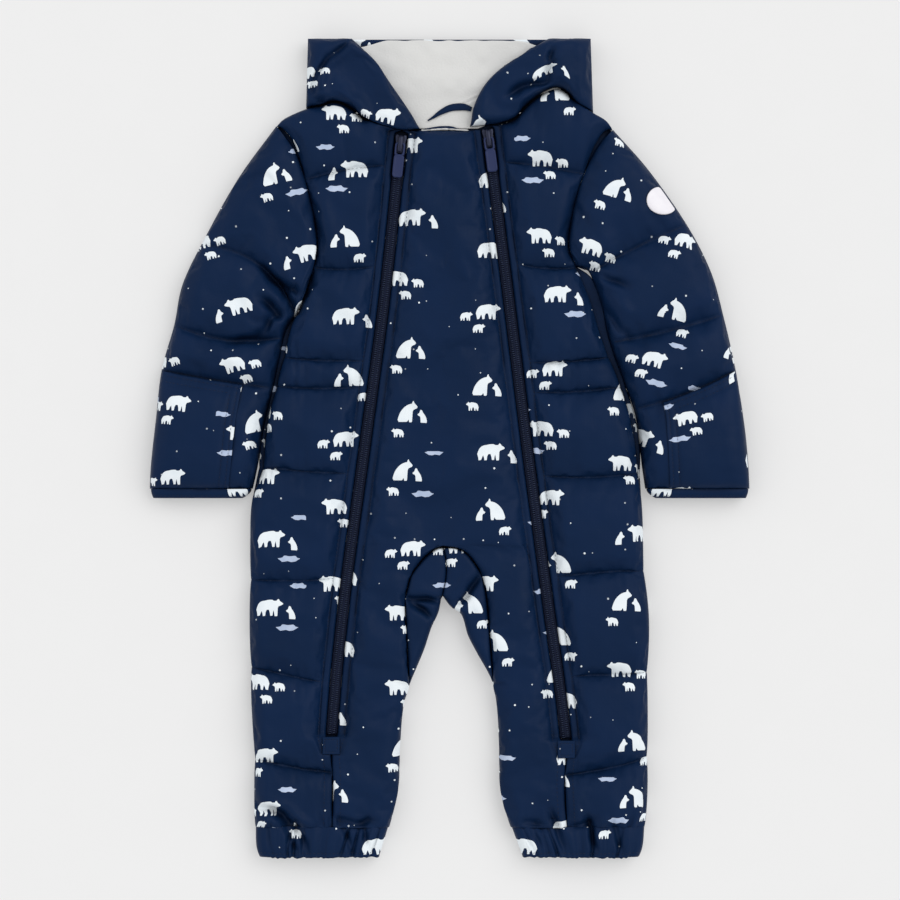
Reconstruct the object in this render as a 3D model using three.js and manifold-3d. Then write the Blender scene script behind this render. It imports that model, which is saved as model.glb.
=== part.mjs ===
// A hooded, padded baby snowsuit with two long front zips, laid flat on its back with the hood spread.
// Units are millimetres. The suit lies on z = 0, +X is the wearer's left, +Y runs from the hems to the hood.
// The back lies on the surface and the front panels lie on the back. Every cloth panel is a padded wall
// between an upper and a lower height over one grid of points, with the quilting raised in its upper side.
import * as THREE from "three";
import { mergeVertices } from "three/addons/utils/BufferGeometryUtils.js";
import Module from "manifold-3d";

const wasm = await Module();
wasm.setup();

// Driving sizes
const SEAM_GAP = 0.3; // each piece stands back from a seam line by this
const BACK_TOP = 8.5; // inner face of the back layer
const LAYER_GAP = 0.3; // between pieces that lie on each other
const FRONT_BASE = BACK_TOP + LAYER_GAP;
const LINING_THICKNESS = 1.2;
const HOOD_BASE = FRONT_BASE + LINING_THICKNESS + LAYER_GAP;
const EDGE_RIM = 2; // height of cloth left at a rolled outer edge, above and below the middle
const EDGE_ROLL = 13; // distance over which an outer edge rolls over
const SEAM_RIM = 5; // thickness of a panel where it is sewn
const STITCH_HEIGHT = 6; // thickness left under a quilting line
const QUILT_PEAK = 14.5; // thickness of a quilted channel at its middle
const PLAIN_PEAK = 12.5; // thickness of the unquilted panels
const WAIST_PEAK = 9.5; // thickness of the gathered waist channel
const SLEEVE_PEAK = 17; // height of a sleeve's channel above the middle
const HOOD_PEAK = 15;

// Zips: channel between the panels, tape, chain, slider and pull
const ZIP_HALF_CHANNEL = 4.7;
const TAPE_HALF = 4.3;
const TAPE_THICKNESS = 2;
const CHAIN_HALF = 3.1;
const CHAIN_THICKNESS = 1.9;
const SLIDER_LENGTH = 15;
const SLIDER_HALF = 4.3;
const SLIDER_PLATE = 2.2;
const BRIDGE_HALF = 1.6;
const BRIDGE_FOOT = 1.2;
const BRIDGE_REACH = 6.6;
const BRIDGE_TOP = 1.3;
const PULL_BAR = 1.4; // thickness of the eye's sides at the pull's upper end
const PULL_CLEARANCE = 0.4; // around the loop's bar inside the bridge
const LOOP_HALF = 3.9;
const LOOP_LENGTH = 10;
const GRIP_HALF = 4.2;
const GRIP_LENGTH = 17;
const GRIP_THICKNESS = 2.6;
const END_PATCH = 14; // side of the square patch over a zip's lower end
const PATCH_REST = 12.6; // thickness of the panels on which the patch lies
const PATCH_THICKNESS = 1.2;

const ANKLE_TOP = -304;
const HEM = -327.5;
const CUFF_TOP = -33;
const CUFF_END = -40.5;
const WAVES_PER_ANKLE = 9;

// Outlines. Each row is one height y, with the x of every edge there.
const EDGES = {
  right: {
    armhole: [
      { y: 257, x: -138 },
      { y: 248, x: -131 },
      { y: 236, x: -123 },
      { y: 206, x: -113 },
      { y: 174, x: -106.5 },
      { y: 158, x: -106 },
      { y: 142, x: -109 },
      { y: 112, x: -119 },
    ],
    side: [
      { y: 112, x: -119 },
      { y: 94, x: -126 },
      { y: 62, x: -134 },
      { y: 22, x: -144 },
      { y: -18, x: -149 },
      { y: -42, x: -156.5 },
      { y: -74, x: -158 },
      { y: -138, x: -158.5 },
      { y: -194, x: -157.5 },
      { y: -250, x: -155 },
      { y: -327, x: -155 },
    ],
    backSide: [
      { y: 112, x: -119 },
      { y: 94, x: -129 },
      { y: 62, x: -136 },
      { y: 22, x: -146.5 },
      { y: -18, x: -151 },
      { y: -42, x: -156.5 },
    ],
    zip: [
      { y: 256, x: -37.5 },
      { y: 118, x: -52 },
      { y: -10, x: -69 },
      { y: -122, x: -84 },
      { y: -230, x: -94 },
      { y: -266, x: -93 },
      { y: -327, x: -94 },
    ],
    gussetSeam: [
      { y: -78, x: -5 },
      { y: -84, x: -15 },
      { y: -92, x: -23 },
      { y: -102, x: -30 },
      { y: -112, x: -33 },
      { y: -122, x: -35 },
      { y: -158, x: -33.5 },
      { y: -188, x: -32 },
    ],
    legInside: [
      { y: -119, x: -6 },
      { y: -132, x: -8.5 },
      { y: -144, x: -14 },
      { y: -162, x: -20 },
      { y: -186, x: -30 },
      { y: -206, x: -37 },
      { y: -238, x: -40 },
      { y: -266, x: -40.5 },
      { y: -294, x: -46 },
      { y: -327, x: -56 },
    ],
    zipTop: 250.5,
    zipEnd: -230,
  },
  left: {
    armhole: [
      { y: 254, x: 131 },
      { y: 244, x: 122 },
      { y: 224, x: 110.5 },
      { y: 202, x: 102.5 },
      { y: 180, x: 97.5 },
      { y: 160, x: 96 },
      { y: 146, x: 101 },
    ],
    side: [
      { y: 146, x: 101 },
      { y: 130, x: 107 },
      { y: 114, x: 113 },
      { y: 94, x: 119 },
      { y: 68, x: 129 },
      { y: 42, x: 139 },
      { y: 6, x: 147.5 },
      { y: -42, x: 153 },
      { y: -90, x: 155 },
      { y: -138, x: 159 },
      { y: -194, x: 158 },
      { y: -266, x: 158 },
      { y: -327, x: 155.5 },
    ],
    backSide: [
      { y: 146, x: 101 },
      { y: 130, x: 116 },
      { y: 114, x: 121.5 },
      { y: 94, x: 127 },
      { y: 68, x: 133 },
      { y: 42, x: 142 },
      { y: 6, x: 150 },
      { y: -42, x: 153 },
    ],
    zip: [
      { y: 256, x: 30.5 },
      { y: 118, x: 48 },
      { y: -10, x: 64 },
      { y: -122, x: 79 },
      { y: -233, x: 93.5 },
      { y: -270, x: 92.5 },
      { y: -327, x: 96 },
    ],
    gussetSeam: [
      { y: -78, x: -5 },
      { y: -80, x: 5 },
      { y: -84, x: 13 },
      { y: -92, x: 20 },
      { y: -100, x: 25 },
      { y: -110, x: 28 },
      { y: -122, x: 30 },
      { y: -158, x: 33 },
      { y: -188, x: 35.5 },
    ],
    legInside: [
      { y: -119, x: -5 },
      { y: -128, x: 2 },
      { y: -133, x: 9.5 },
      { y: -150, x: 15 },
      { y: -162, x: 21 },
      { y: -186, x: 34 },
      { y: -206, x: 39 },
      { y: -238, x: 41 },
      { y: -266, x: 41 },
      { y: -294, x: 47 },
      { y: -327, x: 59 },
    ],
    zipTop: 255,
    zipEnd: -233,
  },
};

// The seam down the middle of the crotch gusset, and the line on which the two halves of a panel meet
const CENTRE_SEAM = [
  { y: -78, x: -5 },
  { y: -90, x: -2.5 },
  { y: -104, x: -2.5 },
  { y: -119, x: -5.5 },
];
const CROTCH_TOP = -78;
const CROTCH = -119;
const CENTRE_X = -5;

// Quilting lines of the front side panels: their heights at the outer edge and at the zip, and the
// thickness of the channel below each one
const QUILTING = {
  right: [
    { outer: 214, inner: 226, sag: 2, peak: QUILT_PEAK },
    { outer: 144, inner: 146, sag: -2, peak: QUILT_PEAK },
    { outer: 72, inner: 69, sag: -1, peak: WAIST_PEAK },
    { outer: 49, inner: 48, sag: -1, peak: QUILT_PEAK },
    { outer: -16, inner: -21, sag: -1, peak: QUILT_PEAK },
    { outer: -106, inner: -104, sag: -1, peak: QUILT_PEAK },
    { outer: -176, inner: -188, sag: -1, peak: QUILT_PEAK },
    { outer: -250, inner: -260, sag: -1, peak: QUILT_PEAK },
    { outer: ANKLE_TOP, inner: ANKLE_TOP, sag: 0, peak: 0 },
  ],
  left: [
    { outer: 219, inner: 229, sag: 1, peak: QUILT_PEAK },
    { outer: 144, inner: 148, sag: -2, peak: QUILT_PEAK },
    { outer: 72, inner: 68, sag: -1, peak: WAIST_PEAK },
    { outer: 48, inner: 44, sag: -1, peak: QUILT_PEAK },
    { outer: -21, inner: -22, sag: -2, peak: QUILT_PEAK },
    { outer: -99, inner: -104, sag: 1, peak: QUILT_PEAK },
    { outer: -180, inner: -184, sag: 0, peak: QUILT_PEAK },
    { outer: -248, inner: -262, sag: -3, peak: QUILT_PEAK },
    { outer: ANKLE_TOP, inner: ANKLE_TOP, sag: 0, peak: 0 },
  ],
};

// The upper edges of the front side panels, from the shoulder point to the top of the zip: the shoulder,
// then the line on which the hood's side lies over it
const SHOULDER = {
  right: [
    { x: -138, y: 257 },
    { x: -131, y: 263.5 },
    { x: -114, y: 271 },
    { x: -103, y: 273 },
    { x: -94, y: 276 },
    { x: -86, y: 275 },
    { x: -77, y: 270 },
    { x: -67, y: 262 },
    { x: -53, y: 257.5 },
    { x: -38, y: 254 },
  ],
  left: [
    { x: 131, y: 254 },
    { x: 125, y: 261 },
    { x: 115, y: 267 },
    { x: 103, y: 275 },
    { x: 95, y: 283 },
    { x: 87, y: 287 },
    { x: 79, y: 285 },
    { x: 69, y: 279 },
    { x: 60, y: 271 },
    { x: 52, y: 262 },
    { x: 41, y: 258.5 },
    { x: 31, y: 257 },
  ],
};

// Lines across each sleeve from its outer to its inner edge. bow is how far the middle stands towards the
// shoulder, and quilted says that the line is stitched through.
const SLEEVES = {
  right: [
    { outerX: -138, outerY: 257, innerX: -119, innerY: 112, bow: 0, quilted: true },
    { outerX: -169, outerY: 214, innerX: -121, innerY: 110, bow: 19, quilted: false },
    { outerX: -198, outerY: 162, innerX: -123, innerY: 106, bow: 15, quilted: true },
    { outerX: -213, outerY: 130, innerX: -129, innerY: 99, bow: 5, quilted: false },
    { outerX: -219.5, outerY: 98, innerX: -133.5, innerY: 88, bow: -7, quilted: true },
    { outerX: -229.5, outerY: 62, innerX: -142, innerY: 48, bow: -1, quilted: true },
    { outerX: -234, outerY: 24, innerX: -149.5, innerY: 16, bow: 0, quilted: false },
    { outerX: -238, outerY: -12, innerX: -154, innerY: -12, bow: 0, quilted: false },
    { outerX: -239, outerY: CUFF_TOP, innerX: -158.5, innerY: CUFF_TOP, bow: 0, quilted: true },
  ],
  left: [
    { outerX: 131, outerY: 254, innerX: 101, innerY: 146, bow: 0, quilted: true },
    { outerX: 160, outerY: 221, innerX: 108, innerY: 144, bow: 9, quilted: false },
    { outerX: 190, outerY: 178, innerX: 114, innerY: 140, bow: 2, quilted: true },
    { outerX: 209, outerY: 141, innerX: 123, innerY: 116, bow: -3, quilted: false },
    { outerX: 219, outerY: 106, innerX: 130, innerY: 84, bow: -2, quilted: true },
    { outerX: 229, outerY: 62, innerX: 149, innerY: 31, bow: -3, quilted: true },
    { outerX: 236, outerY: 18, innerX: 153.5, innerY: 4, bow: 0, quilted: false },
    { outerX: 239, outerY: -12, innerX: 156, innerY: -16, bow: 0, quilted: false },
    { outerX: 240, outerY: CUFF_TOP, innerX: 158.5, innerY: CUFF_TOP, bow: 0, quilted: true },
  ],
};
const MITTEN_FIRST_LINE = 5; // the sleeve line under the mitten's upper edge
const MITTEN_INNER = 0.74; // the mitten's inner edge, as a share of the sleeve's width
const MITTEN_THICKNESS = 2.4;

// The hood's two side pieces: the rolled edge of the face opening and the upper outer corner
const HOOD = {
  right: {
    corner: [-113, 327.5],
    foot: [-114.5, 272],
    faceEdge: [
      [-78, 327.5],
      [-59, 308.5],
      [-45, 288.5],
      [-31, 268],
      [-23.5, 255],
    ],
    lowerEdge: SHOULDER.right.slice(2),
  },
  left: {
    corner: [113.5, 327.5],
    foot: [115.5, 268],
    faceEdge: [
      [80, 327.5],
      [49, 308],
      [31, 292],
      [20.5, 274],
      [17, 257],
    ],
    lowerEdge: SHOULDER.left.slice(2),
  },
};
const HOOD_BACK_LOWER = 269;
const HOOD_TOP = 327.5;
const LINING_WIDTHS = [
  { y: 324, left: -104, right: 104 },
  { y: 291, left: -104, right: 104 },
  { y: 281, left: -98, right: 64 },
  { y: 273, left: -72, right: 55 },
  { y: 266, left: -62, right: 48 },
  { y: 262, left: -50, right: 38 },
  { y: 255.8, left: -30, right: 23 },
];

// The largest folds, as troughs and ridges between two points: height is how far each one moves the
// upper surface, and width how wide it is
const FOLDS = [
  { name: "hood right roll", x0: -104, y0: 279, x1: -70, y1: 272, height: 5, width: 9 },
  { name: "hood right crease", x0: -106, y0: 284, x1: -88, y1: 306, height: -4, width: 6 },
  { name: "hood left tuck", x0: 52, y0: 279, x1: 80, y1: 292, height: -6, width: 6 },
  { name: "hood left crease", x0: 79, y0: 296, x1: 82, y1: 314, height: -5, width: 6 },
  { name: "hood left roll", x0: 32, y0: 270, x1: 74, y1: 290, height: 3, width: 8 },
  { name: "right armpit", x0: -141, y0: 134, x1: -118, y1: 120, height: -5, width: 7 },
  { name: "right elbow", x0: -176, y0: 75, x1: -140, y1: 76, height: -5, width: 7 },
  { name: "left elbow", x0: 122, y0: 126, x1: 152, y1: 122, height: -5, width: 8 },
  { name: "right gusset", x0: -35, y0: -122, x1: -10, y1: -130, height: -4, width: 6 },
  { name: "left gusset", x0: 2, y0: -116, x1: 22, y1: -94, height: -3, width: 6 },
  { name: "right ankle", x0: -154, y0: -286, x1: -128, y1: -294, height: -3, width: 7 },
];

const COLOURS = {
  shell: 0x1b2947,
  lining: 0xeceae6,
  zip: 0x15161f,
  slider: 0x1d2440,
  grip: 0x2b3354,
  badge: 0xf1eef3,
};

function mix(a, b, t) {
  return a + (b - a) * t;
}

function mixPoint(p, q, t) {
  return [mix(p[0], q[0], t), mix(p[1], q[1], t)];
}

// The cubic between two values that keeps to the slopes of their neighbours
function cubic(before, start, end, after, t) {
  const slopeIn = (end - before) / 2;
  const slopeOut = (after - start) / 2;
  const t2 = t * t;
  const t3 = t2 * t;
  return (
    (2 * t3 - 3 * t2 + 1) * start +
    (t3 - 2 * t2 + t) * slopeIn +
    (-2 * t3 + 3 * t2) * end +
    (t3 - t2) * slopeOut
  );
}

// The x of an edge at height y, straight between the rows of its table but for a smooth corner
function edgeAt(rows, y) {
  const last = rows.length - 1;
  if (y >= rows[0].y) return rows[0].x;
  if (y <= rows[last].y) return rows[last].x;
  const k = rows.findIndex((row) => row.y <= y) - 1;
  const [a, b] = [rows[k], rows[k + 1]];
  const slope = (i) => {
    const [p, q] = [rows[Math.max(i - 1, 0)], rows[Math.min(i + 1, last)]];
    return (q.x - p.x) / (q.y - p.y);
  };
  const span = b.y - a.y;
  const t = (y - a.y) / span;
  const t2 = t * t;
  const t3 = t2 * t;
  return (
    (2 * t3 - 3 * t2 + 1) * a.x +
    (t3 - 2 * t2 + t) * slope(k) * span +
    (-2 * t3 + 3 * t2) * b.x +
    (t3 - t2) * slope(k + 1) * span
  );
}

// A smooth open curve through points, as a function of the share of its length
function curveThrough(points) {
  const curve = new THREE.SplineCurve(points.map((p) => new THREE.Vector2(p[0], p[1])));
  return (share) => {
    const p = curve.getPointAt(Math.min(Math.max(share, 0), 1));
    return [p.x, p.y];
  };
}

// The y of a line that is given by points in x, from the outer edge inwards
function lineHeightAt(points, x) {
  const inwards = Math.sign(points[points.length - 1].x - points[0].x);
  const k = points.findIndex((p) => (p.x - x) * inwards >= 0);
  if (k <= 0) return k === 0 ? points[0].y : points[points.length - 1].y;
  const [p, q] = [points[k - 1], points[k]];
  return mix(p.y, q.y, (x - p.x) / (q.x - p.x));
}

// 0 at an edge, rising as a quarter round to 1 at the given distance inside it
function rise(distance, radius) {
  const inside = Math.min(Math.max(distance / radius, 0), 1);
  return Math.sqrt(1 - (1 - inside) ** 2);
}

// How far a channel of padding swells between two quilting lines
function swell(share) {
  return (1 - Math.abs(2 * share - 1) ** 2.3) ** 0.6;
}

// What the folds add to the upper surface at a point
function foldHeight(x, y) {
  let sum = 0;
  for (const { x0, y0, x1, y1, height, width } of FOLDS) {
    const [dx, dy] = [x1 - x0, y1 - y0];
    const along = ((x - x0) * dx + (y - y0) * dy) / (dx * dx + dy * dy);
    const nearest = Math.min(Math.max(along, 0), 1);
    const away = Math.hypot(x - x0 - nearest * dx, y - y0 - nearest * dy);
    sum += height * Math.exp(-((away / width) ** 2) * 1.5);
  }
  return sum;
}

// Moves the edge rows and columns of a grid of points inwards, to leave the seam gap
function standBack(grid, sides) {
  const last = grid.length - 1;
  const moved = grid.map((row) => row.map((p) => [...p]));
  const shift = (target, from, towards) => {
    const length = Math.hypot(towards[0] - from[0], towards[1] - from[1]);
    target[0] += ((towards[0] - from[0]) / length) * SEAM_GAP;
    target[1] += ((towards[1] - from[1]) / length) * SEAM_GAP;
  };
  grid.forEach((row, r) => {
    const end = row.length - 1;
    if (sides.includes("outer")) shift(moved[r][0], row[0], row[1]);
    if (sides.includes("inner")) shift(moved[r][end], row[end], row[end - 1]);
  });
  grid[0].forEach((_, c) => {
    if (sides.includes("start")) shift(moved[0][c], grid[0][c], grid[1][c]);
    if (sides.includes("end")) shift(moved[last][c], grid[last][c], grid[last - 1][c]);
  });
  return moved;
}

// A closed wall over one or more grids of points {x, y, top, bottom}. Grids that share a line of points
// are joined there, and the free edges get an upright rim.
function wall(grids) {
  const index = new Map();
  const points = [];
  const indexOf = (p) => {
    const key = `${Math.round(p.x * 100)},${Math.round(p.y * 100)}`;
    if (!index.has(key)) {
      index.set(key, points.length);
      points.push(p);
    }
    return index.get(key);
  };
  const flat = [];
  const area = (a, b, c) =>
    (points[b].x - points[a].x) * (points[c].y - points[a].y) -
    (points[c].x - points[a].x) * (points[b].y - points[a].y);
  const add = (a, b, c) => {
    if (a === b || b === c || a === c) return;
    flat.push(area(a, b, c) > 0 ? [a, b, c] : [a, c, b]);
  };
  for (const grid of grids) {
    for (let r = 0; r + 1 < grid.length; r++) {
      for (let c = 0; c + 1 < grid[r].length; c++) {
        const corner = [grid[r][c], grid[r][c + 1], grid[r + 1][c + 1], grid[r + 1][c]].map(indexOf);
        add(corner[0], corner[1], corner[2]);
        add(corner[0], corner[2], corner[3]);
      }
    }
  }
  const count = points.length;
  const faces = flat.flatMap(([a, b, c]) => [
    [a, b, c],
    [a + count, c + count, b + count],
  ]);
  const steps = new Set(flat.flatMap(([a, b, c]) => [`${a},${b}`, `${b},${c}`, `${c},${a}`]));
  for (const step of steps) {
    const [a, b] = step.split(",").map(Number);
    if (steps.has(`${b},${a}`)) continue;
    faces.push([a, a + count, b + count], [a, b + count, b]);
  }
  const positions = [
    ...points.flatMap((p) => [p.x, p.y, p.top]),
    ...points.flatMap((p) => [p.x, p.y, p.bottom]),
  ];
  const geometry = new THREE.BufferGeometry();
  geometry.setAttribute("position", new THREE.Float32BufferAttribute(positions, 3));
  geometry.setIndex(faces.flat());
  return geometry;
}

// three.js geometry to a manifold solid and back
function solidOf(geometry) {
  const bare = geometry.clone();
  bare.deleteAttribute("normal");
  bare.deleteAttribute("uv");
  const merged = mergeVertices(bare, 1e-4);
  return new wasm.Manifold(
    new wasm.Mesh({
      numProp: 3,
      vertProperties: merged.attributes.position.array,
      triVerts: new Uint32Array(merged.index.array),
    }),
  );
}

function geometryOf(solid) {
  const mesh = solid.getMesh();
  const geometry = new THREE.BufferGeometry();
  geometry.setAttribute("position", new THREE.Float32BufferAttribute(mesh.vertProperties, 3));
  geometry.setIndex([...mesh.triVerts]);
  return geometry;
}

function joined(...geometries) {
  return geometryOf(geometries.map(solidOf).reduce((sum, next) => sum.add(next)));
}

function cut(geometry, ...tools) {
  return geometryOf(tools.map(solidOf).reduce((left, tool) => left.subtract(tool), solidOf(geometry)));
}

// Positions across a panel: close together near its edges, where the cloth curves most
const PANEL_COLUMNS = [0, 0.05, 0.17, 0.36, 0.64, 0.83, 0.95, 1];
const SLEEVE_COLUMNS = [0.03, 0.1, 0.24, 0.4, 0.58, MITTEN_INNER, 0.89, 0.97, 1];

// Half the width of the slot between the panels at a zip, closing to a sewn seam below the zip's end
function zipSlot(side, y) {
  const below = (EDGES[side].zipEnd - y) / END_PATCH;
  return mix(ZIP_HALF_CHANNEL, 0, Math.min(Math.max(below, 0), 1));
}

const outwards = { right: -1, left: 1 };

function bodyEdge(side, y, part = "side") {
  const { armhole } = EDGES[side];
  const armpit = armhole[armhole.length - 1].y;
  if (y >= armpit) return edgeAt(armhole, y);
  const rows = EDGES[side][part];
  return edgeAt(y < rows[rows.length - 1].y ? EDGES[side].side : rows, y);
}

// The rows of a front side panel: each lies between two quilting lines, and share says how far down
function panelRows(side) {
  const shoulder = SHOULDER[side];
  const [outer, inner] = [shoulder[0].y, shoulder[shoulder.length - 1].y];
  const all = [{ outer, inner, sag: 0, peak: QUILT_PEAK, first: true }, ...QUILTING[side]];
  return all.slice(1).flatMap((b, k) => {
    const a = all[k];
    const zipShare = (EDGES[side].zipEnd - a.inner) / (b.inner - a.inner);
    const middle = zipShare > 0 && zipShare < 1 ? zipShare : 0.5;
    const last = k + 2 === all.length ? [1] : [];
    return [0, 0.14, middle, 0.86, ...last].map((share) => ({
      a,
      b,
      share,
      outerY: mix(a.outer, b.outer, share),
      innerY: mix(a.inner, b.inner, share),
    }));
  });
}

// A point of the armhole seam, straight between the rows of the front side panel
function armholeAt(side, y) {
  const rows = panelRows(side);
  const k = Math.max(rows.findIndex((row) => row.outerY <= y), 1);
  const [above, below] = [rows[k - 1].outerY, rows[k].outerY];
  const t = (y - above) / (below - above);
  return mix(bodyEdge(side, above), bodyEdge(side, below), t);
}

// Front side panel: from the shoulder to the ankle casing, between the side seam and the zip
function sidePanel(side) {
  const shoulder = SHOULDER[side];
  const zipX = (y) => edgeAt(EDGES[side].zip, y) + outwards[side] * zipSlot(side, y);
  const rows = panelRows(side);
  const grid = rows.map(({ a, b, share, outerY, innerY }) =>
    PANEL_COLUMNS.map((u) => {
      const above = a.first
        ? lineHeightAt(shoulder, mix(bodyEdge(side, a.outer), zipX(a.inner), u))
        : mix(a.outer, a.inner, u) + a.sag * 4 * u * (1 - u);
      const below = mix(b.outer, b.inner, u) + b.sag * 4 * u * (1 - u);
      return [mix(bodyEdge(side, outerY), zipX(innerY), u), mix(above, below, share)];
    }),
  );
  const moved = standBack(grid, ["outer", "inner", "start", "end"]);
  const armpit = EDGES[side].armhole[EDGES[side].armhole.length - 1].y;
  return wall([
    moved.map((row, r) => {
      const { a, share } = rows[r];
      const low = a.first ? SEAM_RIM : STITCH_HEIGHT;
      const outerRim = row[0][1] > armpit ? SEAM_RIM : EDGE_RIM;
      return row.map(([x, y]) => {
        const outerRise = rise(Math.abs(x - row[0][0]), EDGE_ROLL);
        const innerRise = rise(Math.abs(x - row[row.length - 1][0]), EDGE_ROLL);
        const core = mix(low, a.peak, swell(share)) + foldHeight(x, y);
        const body = mix(SEAM_RIM, core, innerRise);
        return { x, y, top: FRONT_BASE + mix(outerRim, body, outerRise), bottom: FRONT_BASE };
      });
    }),
  ]);
}

// Heights of the rows of the centre panel, down to the crotch and down each leg
const CENTRE_ROWS = [254, 249, 225, 195, 160, 125, 90, 50, 10, -30, -60, CROTCH_TOP];
const GUSSET_ROWS = [-81, -85, -91, -99, -108, CROTCH, -127, -134, -146, -163, -176, -184];
const LEG_ROWS = [CROTCH_TOP, ...GUSSET_ROWS, -188, -210];
const SHIN_ROWS = [-270, -296, ANKLE_TOP];
const HALF_COLUMNS = [0, 0.07, 0.24, 0.5, 0.8, 1];

// Front centre panel: one piece between the zips that parts into the fronts of both legs
function centrePanel() {
  const grids = [];
  for (const side of ["right", "left"]) {
    const zipX = (y) => edgeAt(EDGES[side].zip, y) - outwards[side] * zipSlot(side, y);
    const innerX = (y) => {
      if (y >= CROTCH_TOP) return CENTRE_X;
      const seam = EDGES[side].gussetSeam;
      return y > seam[seam.length - 1].y ? edgeAt(seam, y) : edgeAt(EDGES[side].legInside, y);
    };
    const rowsOf = (heights) => heights.map((y) => HALF_COLUMNS.map((u) => [mix(zipX(y), innerX(y), u), y]));
    const trunk = standBack(rowsOf(CENTRE_ROWS), ["outer", "start"]);
    const { zipEnd } = EDGES[side];
    const legRows = [...LEG_ROWS, zipEnd, zipEnd - END_PATCH, ...SHIN_ROWS];
    const leg = standBack(rowsOf(legRows), ["outer", "inner", "end"]);
    leg[0] = trunk[trunk.length - 1];
    const heightAt = (x, y, edgeDistance, fromZip) => {
      const core = PLAIN_PEAK + foldHeight(x, y);
      const startRise = rise(CENTRE_ROWS[0] - y, EDGE_ROLL);
      const endRise = rise(y - ANKLE_TOP, EDGE_ROLL);
      return SEAM_RIM + (core - SEAM_RIM) * rise(fromZip, EDGE_ROLL) * edgeDistance * startRise * endRise;
    };
    const seamEnd = EDGES[side].gussetSeam[EDGES[side].gussetSeam.length - 1].y;
    grids.push(
      trunk.map((row) =>
        row.map(([x, y]) => {
          const top = FRONT_BASE + heightAt(x, y, 1, Math.abs(x - row[0][0]));
          return { x, y, top, bottom: FRONT_BASE };
        }),
      ),
      leg.map((row, r) =>
        row.map(([x, y]) => {
          const inside = Math.abs(x - row[row.length - 1][0]);
          const outerEdge = y < seamEnd;
          const roll = r === 0 ? 1 : rise(inside, EDGE_ROLL);
          const height = heightAt(x, y, roll, Math.abs(x - row[0][0]));
          const rim = outerEdge ? mix(EDGE_RIM, height, roll) : height;
          return { x, y, top: FRONT_BASE + rim, bottom: FRONT_BASE };
        }),
      ),
    );
  }
  return wall(grids);
}

// Crotch gusset: the leaf-shaped piece from the crotch down the inside of each leg
function gusset(side) {
  const columns = [0, 0.15, 0.5, 0.85, 1];
  const innerX = (y) => (y >= CROTCH ? edgeAt(CENTRE_SEAM, y) : edgeAt(EDGES[side].legInside, y));
  const grid = standBack(
    GUSSET_ROWS.map((y) => columns.map((u) => [mix(edgeAt(EDGES[side].gussetSeam, y), innerX(y), u), y])),
    ["outer", "inner", "start", "end"],
  );
  return wall([
    grid.map((row) =>
      row.map(([x, y]) => {
        const seamRise = rise(Math.abs(x - row[0][0]), EDGE_ROLL / 2);
        const innerRise = rise(Math.abs(x - row[row.length - 1][0]), EDGE_ROLL / 2);
        const rim = y < CROTCH ? EDGE_RIM : SEAM_RIM;
        const core = mix(SEAM_RIM, 11 + foldHeight(x, y), seamRise);
        return { x, y, top: FRONT_BASE + mix(rim, core, innerRise), bottom: FRONT_BASE };
      }),
    ),
  ]);
}

// Back: one layer under both fronts and both legs, flat where it lies
function back() {
  const heights = [248, 236, 220, 202, 180, 160, 146, 130, 112, 94, 62, 22, -18, -60, -98, CROTCH];
  const legHeights = [CROTCH, -128, -133, -144, -162, -186, -206, -238, -270, -290, ANKLE_TOP];
  const columns = [0, 0.05, 0.18, 0.6, 1];
  const topY = (side, x) => {
    const reach = SHOULDER[side][2];
    const beyond = (x - reach.x) * outwards[side];
    return beyond > 0 ? Math.min(lineHeightAt(SHOULDER[side], x), HOOD_BACK_LOWER) - 0.6 : HOOD_BACK_LOWER - 0.9;
  };
  const grids = [];
  for (const side of ["right", "left"]) {
    const outerX = (y) => bodyEdge(side, y, "backSide");
    const first = SHOULDER[side][0];
    const topRow = columns.map((u) => {
      const x = mix(first.x, CENTRE_X, u);
      return [x, topY(side, x)];
    });
    const trunk = [topRow, ...heights.filter((y) => y < first.y - 3).map((y) => columns.map((u) => [mix(outerX(y), CENTRE_X, u), y]))];
    const leg = legHeights.map((y, r) =>
      columns.map((u) => [mix(outerX(y), r === 0 ? CENTRE_X : edgeAt(EDGES[side].legInside, y), u), y]),
    );
    const movedTrunk = standBack(trunk, ["outer"]);
    const movedLeg = standBack(leg, ["outer", "inner", "end"]);
    movedLeg[0] = movedTrunk[movedTrunk.length - 1];
    const armpit = EDGES[side].armhole[EDGES[side].armhole.length - 1].y;
    const lower = (x, y, row, inner) => {
      const outerRise = y > armpit ? 1 : rise(Math.abs(x - row[0][0]), EDGE_ROLL);
      const innerRise = inner ? rise(Math.abs(x - row[row.length - 1][0]), EDGE_ROLL) : 1;
      return (BACK_TOP - EDGE_RIM) * (1 - outerRise * innerRise);
    };
    grids.push(
      movedTrunk.map((row) => row.map(([x, y]) => ({ x, y, top: BACK_TOP, bottom: lower(x, y, row, false) }))),
      movedLeg.map((row, r) =>
        row.map(([x, y]) => ({ x, y, top: BACK_TOP, bottom: lower(x, y, row, r > 0) })),
      ),
    );
  }
  return wall(grids);
}

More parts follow.
